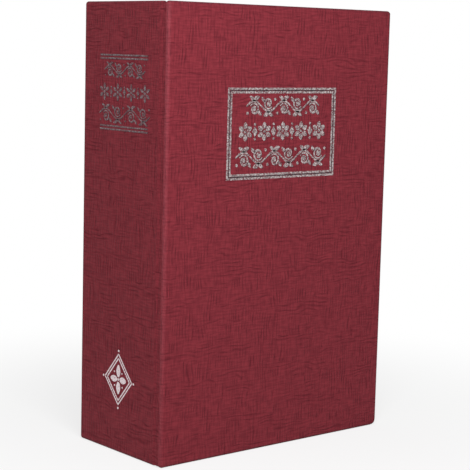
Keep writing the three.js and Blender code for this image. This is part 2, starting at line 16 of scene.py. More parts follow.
import bmesh
import bpy
from mathutils import Matrix, Vector
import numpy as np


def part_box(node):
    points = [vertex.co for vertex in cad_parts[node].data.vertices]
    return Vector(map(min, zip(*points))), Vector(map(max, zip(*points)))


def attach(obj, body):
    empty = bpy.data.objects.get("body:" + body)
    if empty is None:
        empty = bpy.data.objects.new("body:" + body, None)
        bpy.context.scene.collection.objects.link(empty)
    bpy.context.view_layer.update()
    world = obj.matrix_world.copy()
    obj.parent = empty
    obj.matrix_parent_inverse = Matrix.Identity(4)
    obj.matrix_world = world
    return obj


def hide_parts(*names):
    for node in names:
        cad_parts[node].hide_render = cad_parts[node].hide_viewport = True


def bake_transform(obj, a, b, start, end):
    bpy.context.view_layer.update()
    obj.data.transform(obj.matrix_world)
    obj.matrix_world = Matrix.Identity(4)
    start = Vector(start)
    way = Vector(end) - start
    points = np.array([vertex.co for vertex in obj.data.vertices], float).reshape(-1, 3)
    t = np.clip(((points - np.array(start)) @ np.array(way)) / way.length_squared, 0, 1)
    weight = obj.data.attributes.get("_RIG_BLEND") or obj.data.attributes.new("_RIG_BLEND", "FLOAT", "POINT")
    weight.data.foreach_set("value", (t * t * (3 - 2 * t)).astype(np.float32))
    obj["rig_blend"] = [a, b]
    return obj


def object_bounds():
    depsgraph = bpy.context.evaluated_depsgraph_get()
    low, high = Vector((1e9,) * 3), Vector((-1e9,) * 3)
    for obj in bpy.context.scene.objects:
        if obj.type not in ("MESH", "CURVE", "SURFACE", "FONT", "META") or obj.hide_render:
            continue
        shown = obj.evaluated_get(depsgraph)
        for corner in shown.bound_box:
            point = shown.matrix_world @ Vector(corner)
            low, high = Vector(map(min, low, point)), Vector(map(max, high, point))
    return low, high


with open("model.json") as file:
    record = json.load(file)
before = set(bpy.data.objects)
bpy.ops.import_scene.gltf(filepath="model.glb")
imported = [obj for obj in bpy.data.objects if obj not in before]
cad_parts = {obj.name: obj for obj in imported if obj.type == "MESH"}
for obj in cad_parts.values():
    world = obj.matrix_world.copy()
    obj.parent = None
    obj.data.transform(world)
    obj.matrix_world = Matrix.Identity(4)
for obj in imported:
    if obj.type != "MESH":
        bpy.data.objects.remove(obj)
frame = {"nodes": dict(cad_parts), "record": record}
cad_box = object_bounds()

LOG = logging.getLogger("book_safe")

Piece = bpy.types.Object
Mesh = bpy.types.Mesh
Shape = bmesh.types.BMesh
Tree = bpy.types.NodeTree
Socket = bpy.types.NodeSocket
Pair = tuple[float, float]
Triple = tuple[float, float, float]
Radius = Callable[[float], float]

MM = 0.001
PAPER_UV = "paper"
# Wear together with a painted highlight, on the front cover's hinge edge.
WEAR_AND_HIGHLIGHT = "wear"
# Painted shade on the boards' rounded edges.
EDGE_SHADE = "soil"

# Blender's mix node has sockets of one name for each kind of value. These are the places of the colours.
MIX_A = 6
MIX_B = 7
MIX_COLOUR = 2

QUARTER = math.pi / 2
SIXTH = math.pi / 3
WHITE_LIGHT = (1.0, 1.0, 1.0, 1.0)


class Body(str, Enum):
    """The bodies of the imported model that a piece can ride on."""

    CASE = "case"
    COVER = "front_cover"
    LID = "lid"
    CORE = "lock_core"


class Face(Enum):
    """The two faces of the book that carry foil."""

    FRONT = "front"
    SPINE = "spine"


class Motif(Enum):
    """What a row of foil is made of."""

    SCROLL = "running scroll"
    ROSETTES = "rosettes with lozenges between them"
    RULES = "two level rules"


def linear(colour: str) -> tuple[float, float, float, float]:
    """Turns an sRGB colour into the linear values that a shader takes.

    Args:
        colour: Six hexadecimal digits after a hash.

    Returns:
        Linear red, green and blue, and an alpha of one.
    """
    parts = [int(colour[i : i + 2], 16) / 255 for i in (1, 3, 5)]
    bent = [part / 12.92 if part <= 0.04045 else ((part + 0.055) / 1.055) ** 2.4 for part in parts]
    return (bent[0], bent[1], bent[2], 1.0)


def add_node(
    tree: Tree, kind: str, inputs: Optional[dict] = None, out: object = 0, **settings: object
) -> Socket:
    """Adds one node to a tree, sets its properties, and fills or links its inputs.

    Args:
        tree: The shader or geometry tree that takes the node.
        kind: Blender's type name of the node.
        inputs: For each input, by its name or place, a value or the output that feeds it.
        out: The name or place of the output that is wanted.
        **settings: The node's own properties, such as its operation.

    Returns:
        That output, or nothing for a node that ends a tree.
    """
    node = tree.nodes.new(kind)
    for name, value in settings.items():
        setattr(node, name, value)
    for key, value in (inputs or {}).items():
        if isinstance(value, Socket):
            tree.links.new(value, node.inputs[key])
        else:
            node.inputs[key].default_value = value
    return node.outputs[out] if node.outputs else None


@dataclass(frozen=True)
class Field:
    """A soft random pattern: the size of its grains, and what its noise becomes."""

    size: Triple
    values: Pair = (0.0, 1.0)
    noise: Pair = (0.3, 0.7)
    detail: float = 3.0
    shift: float = 0.0
    turn: Triple = (0.0, 0.0, 0.0)
    smooth: bool = False

    def make(self, tree: Tree, place: Socket) -> Socket:
        """Draws the pattern.

        Args:
            tree: The material's tree.
            place: The place on the piece.

        Returns:
            The pattern, from the first of its values to the second.
        """
        size = [1 / side for side in self.size]
        grains = {"Location": [self.shift] * 3, "Rotation": self.turn, "Scale": size}
        spread = add_node(tree, "ShaderNodeMapping", {"Vector": place, **grains})
        noise = add_node(tree, "ShaderNodeTexNoise", {"Vector": spread, "Scale": 1.0, "Detail": self.detail})
        ends = dict(enumerate((noise, *self.noise, *self.values)))
        blend = "SMOOTHSTEP" if self.smooth else "LINEAR"
        return add_node(tree, "ShaderNodeMapRange", ends, interpolation_type=blend)


GRAIN = Field((0.5, 0.5, 0.5))


@dataclass
class Surface:
    """What steers a finish: its colour, gloss and height, its colour layers, and how metallic it is."""

    tone: Socket
    gloss: Socket
    height: Socket
    layers: Sequence[tuple[Socket, str]] = ()
    metal: Optional[Socket] = None


@dataclass(frozen=True)
class Finish:
    """What all finishes share: two colours that mix, and patterns for colour, gloss and height."""

    name: str
    slot: str
    base: str
    second: str
    roughness: float
    spread: float
    relief: float
    strength: float
    metallic: float = 0.0
    specular: float = 0.5
    ior: float = 1.5
    tone: Field = GRAIN
    gloss: Field = GRAIN
    height: Field = GRAIN

    def material(self) -> bpy.types.Material:
        """Makes the material the first time it is asked for, and returns the same one after that.

        Returns:
            The material, with its colour layers, roughness and relief wired.
        """
        found = bpy.data.materials.get(self.name)
        if found:
            return found
        made = bpy.data.materials.new(self.name)
        made.use_nodes = True
        tree = made.node_tree
        shader = tree.nodes["Principled BSDF"]
        even = {"Metallic": self.metallic, "Specular IOR Level": self.specular, "IOR": self.ior}
        for name, value in even.items():
            shader.inputs[name].default_value = value
        metres = {0: self.place(tree), "Scale": 1 / MM}
        place = add_node(tree, "ShaderNodeVectorMath", metres, operation="SCALE")
        seen = self.surface(tree, place)
        colour = linear(self.base)
        for share, tint in ((seen.tone, self.second), *seen.layers):
            mix = {0: share, MIX_A: colour, MIX_B: linear(tint)}
            colour = add_node(tree, "ShaderNodeMix", mix, MIX_COLOUR, data_type="RGBA")
        ends = {0: seen.gloss, 3: self.roughness, 4: self.roughness + self.spread}
        rough = add_node(tree, "ShaderNodeMapRange", ends)
        raised = {"Height": seen.height, "Distance": self.relief * MM, "Strength": self.strength}
        bump = add_node(tree, "ShaderNodeBump", raised)
        wired = {"Base Color": colour, "Roughness": rough, "Normal": bump, "Metallic": seen.metal}
        for name, value in wired.items():
            if value:
                tree.links.new(value, shader.inputs[name])
        return made

    def place(self, tree: Tree) -> Socket:
        """Gives the place on the piece, in metres."""
        return add_node(tree, "ShaderNodeTexCoord", out="Object")

    def surface(self, tree: Tree, place: Socket) -> Surface:
        """Draws the three patterns, and one that comes twice only once.

        Args:
            tree: The material's tree.
            place: The place on the piece, in millimetres.

        Returns:
            What the material is wired from.
        """
        patterns = (self.tone, self.gloss, self.height)
        drawn = {pattern: pattern.make(tree, place) for pattern in dict.fromkeys(patterns)}
        return Surface(*(drawn[pattern] for pattern in patterns))


@dataclass(frozen=True)
class Creases:
    """Thin wavy creases side by side: the axis along which they follow, their pitch and their drift."""

    axis: str
    pitch: float
    drift: Field
    core: float = 0.02
    share: float = 0.3

    def make(self, tree: Tree, place: Socket) -> Socket:
        """Draws the creases.

        Args:
            tree: The material's tree.
            place: The place on the sheet.

        Returns:
            One in a crease, and zero between creases.
        """
        steps = add_node(tree, "ShaderNodeSeparateXYZ", {0: place}, self.axis)
        rows = add_node(tree, "ShaderNodeMath", {0: steps, 1: self.pitch}, operation="DIVIDE")
        wander = self.drift.make(tree, place)
        phase = add_node(tree, "ShaderNodeMath", {0: rows, 1: wander}, operation="ADD")
        folded = add_node(tree, "ShaderNodeMath", {0: phase, 1: 0.5}, operation="PINGPONG")
        ends = {0: folded, 1: self.core, 2: self.share, 3: 1.0, 4: 0.0}
        return add_node(tree, "ShaderNodeMapRange", ends, interpolation_type="SMOOTHSTEP")


@dataclass(frozen=True)
class BindingPaper(Finish):
    """Embossed binding paper: dyed paper rolled with a crossed, torn-bark grain and lightly sealed.

    The eye sees bundles of thin creases, long and level in one patch and short and upright in the next,
    darkened with painted shade, on a fine weave in red that is satin along the grain. The rounded edges are
    darkened with painted shade, and the front cover's hinge edge is paler with wear and a painted highlight.
    The fibre is drawn coarser than a real one, so that it shows.
    """

    name: str = "embossed_binding_paper"
    slot: str = "cover_paper"
    base: str = "#832F38"
    second: str = "#6E252E"
    roughness: float = 0.56
    spread: float = 0.2
    relief: float = 0.15
    strength: float = 0.8
    specular: float = 0.07
    height: Field = Field((0.45, 0.45, 0.45), (0.0, 0.3), detail=2.0)
    # Painted shade in the creases' grooves.
    crease: str = "#45141D"
    crease_shade_share: float = 0.46
    # Painted shade on the rounded edges.
    edge_shade_tint: str = "#35101A"
    most_edge_shade: float = 1.5
    # Wear and a painted highlight on the front cover's hinge edge.
    worn_and_highlit_tint: str = "#A3545D"
    most_wear_and_highlight: float = 0.8
    level: Creases = Creases("Y", 1.8, Field((13, 6, 1), (-0.75, 0.75), (0.2, 0.8), 1.2, 3, smooth=True))
    upright: Creases = Creases("X", 1.5, Field((7, 18, 1), (-0.75, 0.75), (0.2, 0.8), 1.2, 41, smooth=True))
    lying: Field = Field((22, 6, 1), (0.0, 0.85), (0.48, 0.6), 2.5, 7, smooth=True)
    standing: Field = Field((5, 10, 1), (0.0, 1.0), (0.44, 0.54), 2.5, 23, smooth=True)
    overlap: float = 0.1
    torn: Field = Field((5, 5, 1), (0.35, 1.0), (0.3, 0.6), 1.0, 61, smooth=True)
    weft: Field = Field((5, 0.7, 1), (0.0, 0.5), detail=0.0, shift=83, smooth=True)
    warp: Field = Field((0.7, 5, 1), (0.0, 0.5), detail=0.0, shift=97, smooth=True)
    # A random breakup of the painted edge shade, and of the wear and painted highlight.
    edge_mottle: Field = Field((1.1, 1.1, 1.1), (0.2, 0.55), detail=2.0)

    def place(self, tree: Tree) -> Socket:
        """Gives the place on the unrolled sheet, in metres."""
        return add_node(tree, "ShaderNodeUVMap", uv_map=PAPER_UV)

    def grain(self, tree: Tree, place: Socket) -> Socket:
        """Lays patches of level creases among patches of upright ones.

        Args:
            tree: The material's tree.
            place: The place on the sheet.

        Returns:
            How deep the creases are, from zero to one.
        """
        lying = self.lying.make(tree, place)
        clear = add_node(tree, "ShaderNodeMapRange", {0: lying, 3: 1.0, 4: self.overlap})
        loose = self.standing.make(tree, place)
        standing = add_node(tree, "ShaderNodeMath", {0: loose, 1: clear}, operation="MULTIPLY")
        patches = {}
        for key, (creases, patch) in enumerate(((self.level, lying), (self.upright, standing))):
            drawn = {0: creases.make(tree, place), 1: patch}
            patches[key] = add_node(tree, "ShaderNodeMath", drawn, operation="MULTIPLY")
        both = add_node(tree, "ShaderNodeMath", patches, operation="MAXIMUM")
        torn = self.torn.make(tree, place)
        return add_node(tree, "ShaderNodeMath", {0: both, 1: torn}, operation="MULTIPLY")

    def surface(self, tree: Tree, place: Socket) -> Surface:
        """Sets the creases on the weave, darkened with painted shade, darkens some edges that the mesh marks
        with painted shade, and lightens others with wear and a painted highlight.

        Args:
            tree: The material's tree.
            place: The place on the sheet.

        Returns:
            What the material is wired from.
        """
        crease = self.grain(tree, place)
        threads = {0: self.weft.make(tree, place), 1: self.warp.make(tree, place)}
        weave = add_node(tree, "ShaderNodeMath", threads, operation="ADD")
        # The creases are darkened with painted shade.
        crease_shade = add_node(tree, "ShaderNodeMath", {0: crease, 1: self.crease_shade_share}, operation="MULTIPLY")
        layers = [(crease_shade, self.crease)]
        edge_mottle = self.edge_mottle.make(tree, place)
        # Painted shade darkens the marked edges; wear and a painted highlight lighten the front cover's hinge
        # edge.
        for mark, tint, most in ((EDGE_SHADE, self.edge_shade_tint, self.most_edge_shade), (WEAR_AND_HIGHLIGHT, self.worn_and_highlit_tint, self.most_wear_and_highlight)):
            edge = add_node(tree, "ShaderNodeAttribute", out="Fac", attribute_name=mark)
            share = add_node(tree, "ShaderNodeMath", {0: edge, 1: edge_mottle}, operation="MULTIPLY")
            full = add_node(tree, "ShaderNodeMath", {0: share, 1: most}, operation="MULTIPLY", use_clamp=True)
            layers.append((full, tint))
        height = self.height.make(tree, place)
        for dent in (weave, crease):
            height = add_node(tree, "ShaderNodeMath", {0: height, 1: dent}, operation="SUBTRACT")
        return Surface(weave, crease, height, layers)


@dataclass(frozen=True)
class HotFoil(Finish):
    """Hot-stamped foil: a film of metal or pigment pressed on to embossed paper with a heated die.

    The eye sees a thin bright skin that follows the paper's grain, clouded at random with rougher patches of
    a darker tone, partly the film's own and partly a painted dark reflection, with pinholes where the film
    didn't take. They are drawn about twice as wide as real ones, so that they show.
    """

    name: str = "silver_foil"
    slot: str = "cover_paper"
    base: str = "#D8CFCE"
    second: str = "#716668"
    roughness: float = 0.34
    spread: float = 0.2
    relief: float = 0.05
    strength: float = 0.7
    metallic: float = 1.0
    # Darker, rougher patches: partly the film's own tone, partly a painted dark reflection.
    tone: Field = Field((0.8, 0.8, 0.8))
    gloss: Field = Field((0.8, 0.8, 0.8))
    paper: str = "#5B2029"
    bare: float = 0.13
    pinhole: Triple = (0.45, 0.45, 0.45)
    full: float = 0.62
    pinhole_edge: float = 0.12

    def surface(self, tree: Tree, place: Socket) -> Surface:
        """Clouds the film with a darker tone, partly a painted dark reflection, and pricks pinholes into it
        that show the paper.

        Args:
            tree: The material's tree.
            place: The place on the piece.

        Returns:
            What the material is wired from.
        """
        seen = super().surface(tree, place)
        start = self.full - self.bare
        noise = (start, start + self.pinhole_edge)
        gone = Field(self.pinhole, noise=noise, detail=1.0, smooth=True).make(tree, place)
        seen.layers = [(gone, self.paper)]
        if self.metallic:
            seen.metal = add_node(tree, "ShaderNodeMapRange", {0: gone, 3: self.metallic, 4: 0.0})
        return seen


@dataclass(frozen=True)
class FlatStock(Finish):
    """Paper or board with no print, made of calendered fibre.

    The eye sees matt mottling and a few longer fibres, which are drawn coarser than real ones, so that
    they show.
    """

    name: str = "endpaper"
    slot: str = "lining_paper"
    base: str = "#6E2731"
    second: str = "#5F202A"
    roughness: float = 0.66
    spread: float = 0.16
    relief: float = 0.02
    strength: float = 0.6
    specular: float = 0.3
    tone: Field = Field((12.0, 12.0, 12.0), (0.0, 0.6))
    height: Field = Field((0.6, 0.6, 0.6), (0.0, 0.5), detail=4.0)

    def surface(self, tree: Tree, place: Socket) -> Surface:
        """Lays a fine fibre over a broad cloud.

        Args:
            tree: The material's tree.
            place: The place on the piece.

        Returns:
            What the material is wired from.
        """
        fibre = self.height.make(tree, place)
        layers = {0: self.tone.make(tree, place), 1: fibre}
        both = add_node(tree, "ShaderNodeMath", layers, operation="ADD", use_clamp=True)
        return Surface(both, fibre, fibre)


@dataclass(frozen=True)
class MouldedPlastic(Finish):
    """Injection-moulded polystyrene in cream, spark-eroded in the mould.

    The eye sees a faint matt grain, and thin streaks that run with the leaves, as on trimmed paper. The
    grain is drawn coarser than a real one, so that it shows.
    """

    name: str = "cream_polystyrene"
    slot: str = "page_plastic"
    base: str = "#EFE8D8"
    second: str = "#CFC3A8"
    roughness: float = 0.5
    spread: float = 0.12
    relief: float = 0.015
    strength: float = 0.5
    ior: float = 1.59
    tone: Field = Field((30.0, 0.5, 30.0), detail=2.0)


@dataclass(frozen=True)
class PowderCoat(Finish):
    """Black polyester powder coat, baked on to sheet steel.

    The eye sees an orange-peel skin of half-millimetre swells with a finer texture in it, near black,
    and slightly greyer and glossier where it has been touched.
    """

    name: str = "black_powder_coat"
    slot: str = "black_steel"
    base: str = "#1B1B1D"
    second: str = "#2A2A2D"
    roughness: float = 0.5
    spread: float = -0.08
    relief: float = 0.06
    strength: float = 0.8
    tone: Field = Field((14.0, 14.0, 14.0))
    gloss: Field = Field((14.0, 14.0, 14.0))
    height: Field = Field((0.6, 0.6, 0.6))


@dataclass(frozen=True)
class PlatedMetal(Finish):
    """Metal that is plated or bare after pressing or turning.

    The eye sees a metal's own colour with a cloudy bloom, and fine scratches that catch the light. They
    are a quarter of a millimetre wide, coarser than real ones, so that they show.
    """

    name: str = "zinc_plate"
    slot: str = "zinc_steel"
    base: str = "#BCC0C4"
    second: str = "#AFB3B0"
    roughness: float = 0.3
    spread: float = 0.14
    relief: float = 0.006
    strength: float = 0.5
    metallic: float = 1.0
    tone: Field = Field((3.0, 3.0, 3.0))
    gloss: Field = Field((0.25, 0.25, 3.125), detail=2.0, turn=(0.3, 0.2, 0.5))
    height: Field = Field((0.25, 0.25, 3.125), detail=2.0, turn=(0.3, 0.2, 0.5))


LONG_FIBRE = Field((0.9, 0.9, 0.9), (0.0, 0.5), detail=4.0)
BINDING = BindingPaper()
SILVER = HotFoil()
# A darker copy of the silver foil for the spine: painted shade, as the spine takes less light.
SPINE_SILVER = HotFoil("silver_foil_on_the_spine", base="#958A8D", second="#352A2F", bare=0.18)
# A dark foil that paints the shadow round and between the stamped lines.
FOIL_SHADOW = HotFoil("foil_pressed_at_the_rim", base="#4E4347", second="#2C2226", roughness=0.5, bare=0.1)
WHITE = HotFoil(
    "white_foil", base="#F2E6E8", second="#E2D2D6", roughness=0.4, metallic=0.0, paper="#A56B73", bare=0.04
)
ENDPAPER = FlatStock()
GREYBOARD = FlatStock(
    "grey_board_stock", "grey_board", "#9A948A", "#847D72", 0.79, relief=0.04, height=LONG_FIBRE
)
PAGES = MouldedPlastic()
POWDER = PowderCoat()
ZINC = PlatedMetal()
NICKEL = PlatedMetal("nickel_plate", "nickel", "#CBC7C0", "#BDB8AE", 0.16)
BRASS = PlatedMetal("stamped_brass", "brass", "#CDA65E", "#B58E4A", 0.3)


def box_mm(node: str) -> tuple[Vector, Vector]:
    """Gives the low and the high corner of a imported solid's box."""
    low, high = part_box(node)
    return low / MM, high / MM


def distances(line: Sequence[Vector]) -> list[float]:
    """Gives how far each point of a line lies from its start, along it."""
    return [0.0, *accumulate((b - a).length for a, b in zip(line, line[1:]))]


def right_sides(line: Sequence[Vector]) -> list[Vector]:
    """Gives, for each point of a line, the direction square to it on its right."""
    ways = [(b - a).normalized() for a, b in zip([line[0], *line], [*line[1:], line[-1]])]
    return [Vector((way.y, -way.x)) for way in ways]


def loft(work: Shape, rings: Sequence[Sequence], around: bool = True, cyclic: bool = False) -> None:
    """Joins rings of vertices with quads.

    Args:
        work: The shape that is drawn.
        rings: The rings, all of as many vertices.
        around: Whether a ring's last vertex is joined to its first.
        cyclic: Whether the last ring is joined to the first.
    """
    for a, b in zip(rings, [*rings[1:], rings[0]] if cyclic else rings[1:]):
        for i in range(len(a) if around else len(a) - 1):
            j = (i + 1) % len(a)
            work.faces.new([a[i], a[j], b[j], b[i]])


def plain_mesh(work: Shape, name: str) -> Mesh:
    """Turns a drawn shape into a mesh, and frees it.

    Args:
        work: The shape.
        name: The mesh's name.

    Returns:
        The mesh.
    """
    mesh = bpy.data.meshes.new(name)
    work.to_mesh(mesh)
    work.free()
    return mesh


def closed_mesh(work: Shape, name: str, seam: float = 1e-7) -> Mesh:
    """Closes a drawn shape's seams, turns its faces outwards and makes it a mesh.

    Args:
        work: The shape, which is freed.
        name: The mesh's name.
        seam: Vertices nearer than this many metres are one.

    Returns:
        The mesh.
    """
    bmesh.ops.remove_doubles(work, verts=work.verts, dist=seam)
    bmesh.ops.recalc_face_normals(work, faces=work.faces)
    return plain_mesh(work, name)


def new_piece(name: str, mesh: Mesh, finish: Finish, smooth: float = 32.0) -> Piece:
    """Makes an object from a mesh, dresses it and smooths all but its sharp edges.

    Args:
        name: The piece's name.
        mesh: Its mesh, in the frame's own place.
        finish: What it is dressed with.
        smooth: Edges that turn by more than this many degrees stay sharp.

    Returns:
        The new object, linked to the scene.
    """
    mesh.name = name
    mesh.materials.clear()
    mesh.materials.append(finish.material())
    mesh.polygons.foreach_set("use_smooth", [True] * len(mesh.polygons))
    mesh.set_sharp_from_angle(angle=math.radians(smooth))
    piece = bpy.data.objects.new(name, mesh)
    bpy.context.scene.collection.objects.link(piece)
    return piece


def finished(piece: Piece) -> Piece:
    """Turns what a piece's modifiers make into its plain mesh, and removes the modifiers.

    Args:
        piece: The object with modifiers.

    Returns:
        The same object.
    """
    bpy.context.view_layer.update()
    seen = piece.evaluated_get(bpy.context.evaluated_depsgraph_get())
    mesh = bpy.data.meshes.new_from_object(seen)
    mesh.name = piece.name
    piece.modifiers.clear()
    piece.data = mesh
    return piece


def seat(piece: Piece, body: Body, finish: Finish, nodes: Sequence[str] = ()) -> None:
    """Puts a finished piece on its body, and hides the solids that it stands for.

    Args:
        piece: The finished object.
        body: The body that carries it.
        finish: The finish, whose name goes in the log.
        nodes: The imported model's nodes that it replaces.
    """
    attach(piece, body.value)
    if nodes:
        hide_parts(*nodes)
    LOG.info("%s rides on %s, in %s", piece.name, body.value, finish.name)


def merged_copy(node: str, seam: float = 2e-7) -> Shape:
    """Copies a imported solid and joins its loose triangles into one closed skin.

    Args:
        node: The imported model's node.
        seam: Vertices nearer than this many metres are one.

    Returns:
        The copy, in the frame's own place. The caller frees it.
    """
    source = frame["nodes"][node]
    work = bmesh.new()
    work.from_mesh(source.data)
    work.transform(source.matrix_world)
    bmesh.ops.remove_doubles(work, verts=work.verts, dist=seam)
    bmesh.ops.recalc_face_normals(work, faces=work.faces)
    return work


def softened(name: str, work: Shape, finish: Finish, radius: float) -> Piece:
    """Breaks the sharp edges of a solid, as pressing, moulding or tumbling does.

    Args:
        name: The piece's name.
        work: The solid, which is freed.
        finish: What it is dressed with.
        radius: How wide the broken edges are.

    Returns:
        The piece.
    """
    flat_angle, sharp_angle = math.radians(0.5), math.radians(36)
    bmesh.ops.dissolve_limit(work, angle_limit=flat_angle, verts=work.verts, edges=work.edges)
    piece = new_piece(name, plain_mesh(work, name), finish)
    bevel = piece.modifiers.new("broken_edges", "BEVEL")
    bevel.width = radius * MM
    bevel.segments = 2
    bevel.limit_method = "ANGLE"
    bevel.angle_limit = sharp_angle
    bevel.harden_normals = True
    return finished(piece)


def dress_solid(name: str, node: str, body: Body, finish: Finish, edge: float) -> None:
    """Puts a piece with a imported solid's own shape in its place, with sharp edges broken this wide."""
    seat(softened(name, merged_copy(node), finish, edge), body, finish, [node])


@dataclass(frozen=True)
class Station:
    """One cut across a wrapped board: its two sides, and how each moves as the board is drawn in."""

    outer: Vector
    outer_way: Vector
    inner: Vector
    inner_way: Vector
    # How much wear and painted highlight this cut takes.
    wear: float = 0.0
    # How much painted shade this cut takes.
    soil: float = 0.0


@dataclass
class WrappedBoard:
    """Binding paper wrapped round one board, or round two that meet in a corner.

    The section lies in X and Y and runs from the hinge to the fore-edge, and is stacked from foot to
    head.
    """

    name: str
    points: Sequence[Vector]
    inward: Sequence[Vector]
    thickness: float
    height: float
    sheet_start: float = 0.0
    # Whether the hinge end takes wear and a painted highlight instead of painted shade.
    worn_and_highlit: bool = False
    hinge_corner: float = 1.0
    foot_corner: float = 3.0
    head_corner: float = 1.4
    edge_round: float = 1.2
    edge_steps: int = 5
    paper: float = 0.4
    turn_in: float = 14.0
    fold: float = 0.3
    # The share of the wear and painted highlight left at the foot: the painted highlight dims downwards, as
    # the light does.
    highlight_at_foot: float = 0.6
    # Painted shade on the rounded bend between two boards.
    bend_shade: float = 0.5
    first_cut: float = 0.12
    cuts_at_rim: tuple[float, ...] = (1.7, 2.2, 3.0, 5.0, 8.0)
    cut_at_bend: float = 3.0
    cut_pitch: float = 12.0
    level_pitch: float = 8.0
    inner_sheet: float = 300.0

    def rim_angles(self) -> list[float]:
        """Gives the angles at which a rounded edge is cut, from its tip to its face."""
        return [QUARTER * i / self.edge_steps for i in range(self.edge_steps + 1)]

    def run_in(self) -> list[float]:
        """Gives the distances from an end at which the mesh is cut, up to the turned-in edge."""
        return [self.edge_round + self.first_cut, *self.cuts_at_rim, self.turn_in]

    def tip(self, end: Vector, along: Vector, inward: Vector, worn_and_highlit: bool) -> list[Station]:
        """Cuts a board's end from its tip to where its faces run straight.

        Args:
            end: The end of the board's outer side.
            along: The direction into the board.
            inward: The direction from the outer side to the inner one.
            worn_and_highlit: Whether this end is lightened with wear and a painted highlight, instead of
                darkened with painted shade.

        Returns:
            The cuts, from the tip inwards.
        """
        half = self.thickness / 2
        cuts = []
        for angle in self.rim_angles():
            sine, cosine = math.sin(angle), math.cos(angle)
            middle = end + inward * half + along * (self.edge_round * (1 - cosine))
            spread = inward * (half - self.edge_round * (1 - sine))
            outer_way, inner_way = along * cosine + inward * sine, along * cosine - inward * sine
            # The front cover's hinge end takes wear and a painted highlight; the other ends take painted
            # shade.
            wear, soil = (cosine, 0.0) if worn_and_highlit else (0.0, cosine)
            cuts.append(Station(middle - spread, outer_way, middle + spread, inner_way, wear, soil))
        return cuts

    def bend(self, corner: Vector, first: Vector, second: Vector) -> list[Station]:
        """Cuts the corner where two boards meet.

        Args:
            corner: The sharp corner of the outer side.
            first: The inward direction before the corner.
            second: The inward direction after it.

        Returns:
            The cuts round the corner.
        """
        centre = corner + (first + second) * self.edge_round
        hollow = corner + (first + second) * (self.thickness + self.fold)
        cuts = []
        for angle in self.rim_angles():
            out = -(first * math.cos(angle) + second * math.sin(angle))
            outer, inner = centre + out * self.edge_round, hollow + out * self.fold
            # The rounded bend takes painted shade, most in its middle.
            cuts.append(Station(outer, -out, inner, out, soil=self.bend_shade * math.sin(2 * angle)))
        return cuts

    def stations(self) -> list[Station]:
        """Gives every cut from the hinge to the fore-edge.

        Returns:
            The cuts in order: a tip, straight runs with bends between them, and a tip.
        """
        ends, inwards = self.points, self.inward
        alongs = [(b - a).normalized() for a, b in zip(ends, ends[1:])]
        last = len(alongs) - 1
        cuts = self.tip(ends[0], alongs[0], inwards[0], self.worn_and_highlit)
        for leg, (along, inward) in enumerate(zip(alongs, inwards)):
            start = ends[leg] + along * self.edge_round
            stop = ends[leg + 1] - along * self.edge_round
            inner_start, inner_stop = start + inward * self.thickness, stop + inward * self.thickness
            # Past a bend, the inner side starts at the other board's inner side.
            if leg:
                inner_start = ends[leg] + (inwards[leg - 1] + inward) * self.thickness + along * self.fold
            if leg < last:
                inner_stop = ends[leg + 1] + (inward + inwards[leg + 1]) * self.thickness - along * self.fold
            run = (inner_stop - inner_start).length
            at_rim = [place - self.edge_round for place in self.run_in()]
            before = at_rim if leg == 0 else [self.first_cut, self.cut_at_bend]
            after = at_rim if leg == last else [self.first_cut, self.cut_at_bend]
            reach = run - before[-1] - after[-1]
            steps = max(2, round(run / self.cut_pitch))
            middle = [before[-1] + reach * i / steps for i in range(1, steps)]
            for place in (*before, *middle, *(run - place for place in reversed(after))):
                outer = start.lerp(stop, place / run)
                inner = inner_start.lerp(inner_stop, place / run)
                cuts.append(Station(outer, inward, inner, -inward))
            if leg < last:
                cuts += self.bend(ends[leg + 1], inward, inwards[leg + 1])
        return cuts + self.tip(ends[-1], -alongs[-1], inwards[-1], False)[::-1]

    def levels(self) -> list[Vector]:
        """Gives each level's height, how far the section is drawn in there, and how much painted shade its
        edge takes.

        Returns:
            The levels from the foot to the head, with the three values as X, Y and Z.
        """
        low = []
        for angle in self.rim_angles():
            rise, inset = 1 - math.cos(angle), 1 - math.sin(angle)
            low.append(Vector((self.edge_round * rise, self.edge_round * inset, math.cos(angle))))
        low += [Vector((place, 0.0, 0.0)) for place in self.run_in()]
        span = self.height - 2 * self.turn_in
        steps = round(span / self.level_pitch)
        middle = [Vector((self.turn_in + span * i / steps, 0.0, 0.0)) for i in range(1, steps)]
        return low + middle + [Vector((self.height - z, inset, soil)) for z, inset, soil in reversed(low)]

    def round_corner(self, point: Vector, end: Vector, along: Vector, radii: Pair) -> Vector:
        """Bends the square corners of a board's end to their radii.

        Args:
            point: A point of the mesh, with its height as Z.
            end: The end of the board's outer side.
            along: The direction into the board.
            radii: The radius at the foot and at the head.

        Returns:
            The point, moved if it lies in a corner.
        """
        depth = (point.xy - end).dot(along)
        for radius, height in ((radii[0], point.z), (radii[1], self.height - point.z)):
            if depth >= radius or height >= radius:
                continue
            p = (radius - depth) / radius
            q = (radius - height) / radius
            flat = point.xy + along * (radius * (1 - p * math.sqrt(1 - q * q / 2)) - depth)
            rise = radius * (1 - q * math.sqrt(1 - p * p / 2))
            return Vector((*flat, rise if point.z < self.height / 2 else self.height - rise))
        return point

    def ring(self, work: Shape, cuts: Sequence[Station], level: Vector) -> list[bmesh.types.BMVert]:
        """Draws one level: the outer side towards the fore-edge, and the inner side back.

        Args:
            work: The shape that is drawn.
            cuts: The cuts across the section.
            level: The level's height, inset and soil.

        Returns:
            The level's vertices, marked where they are worn or soiled.
        """
        z, inset, soil = level
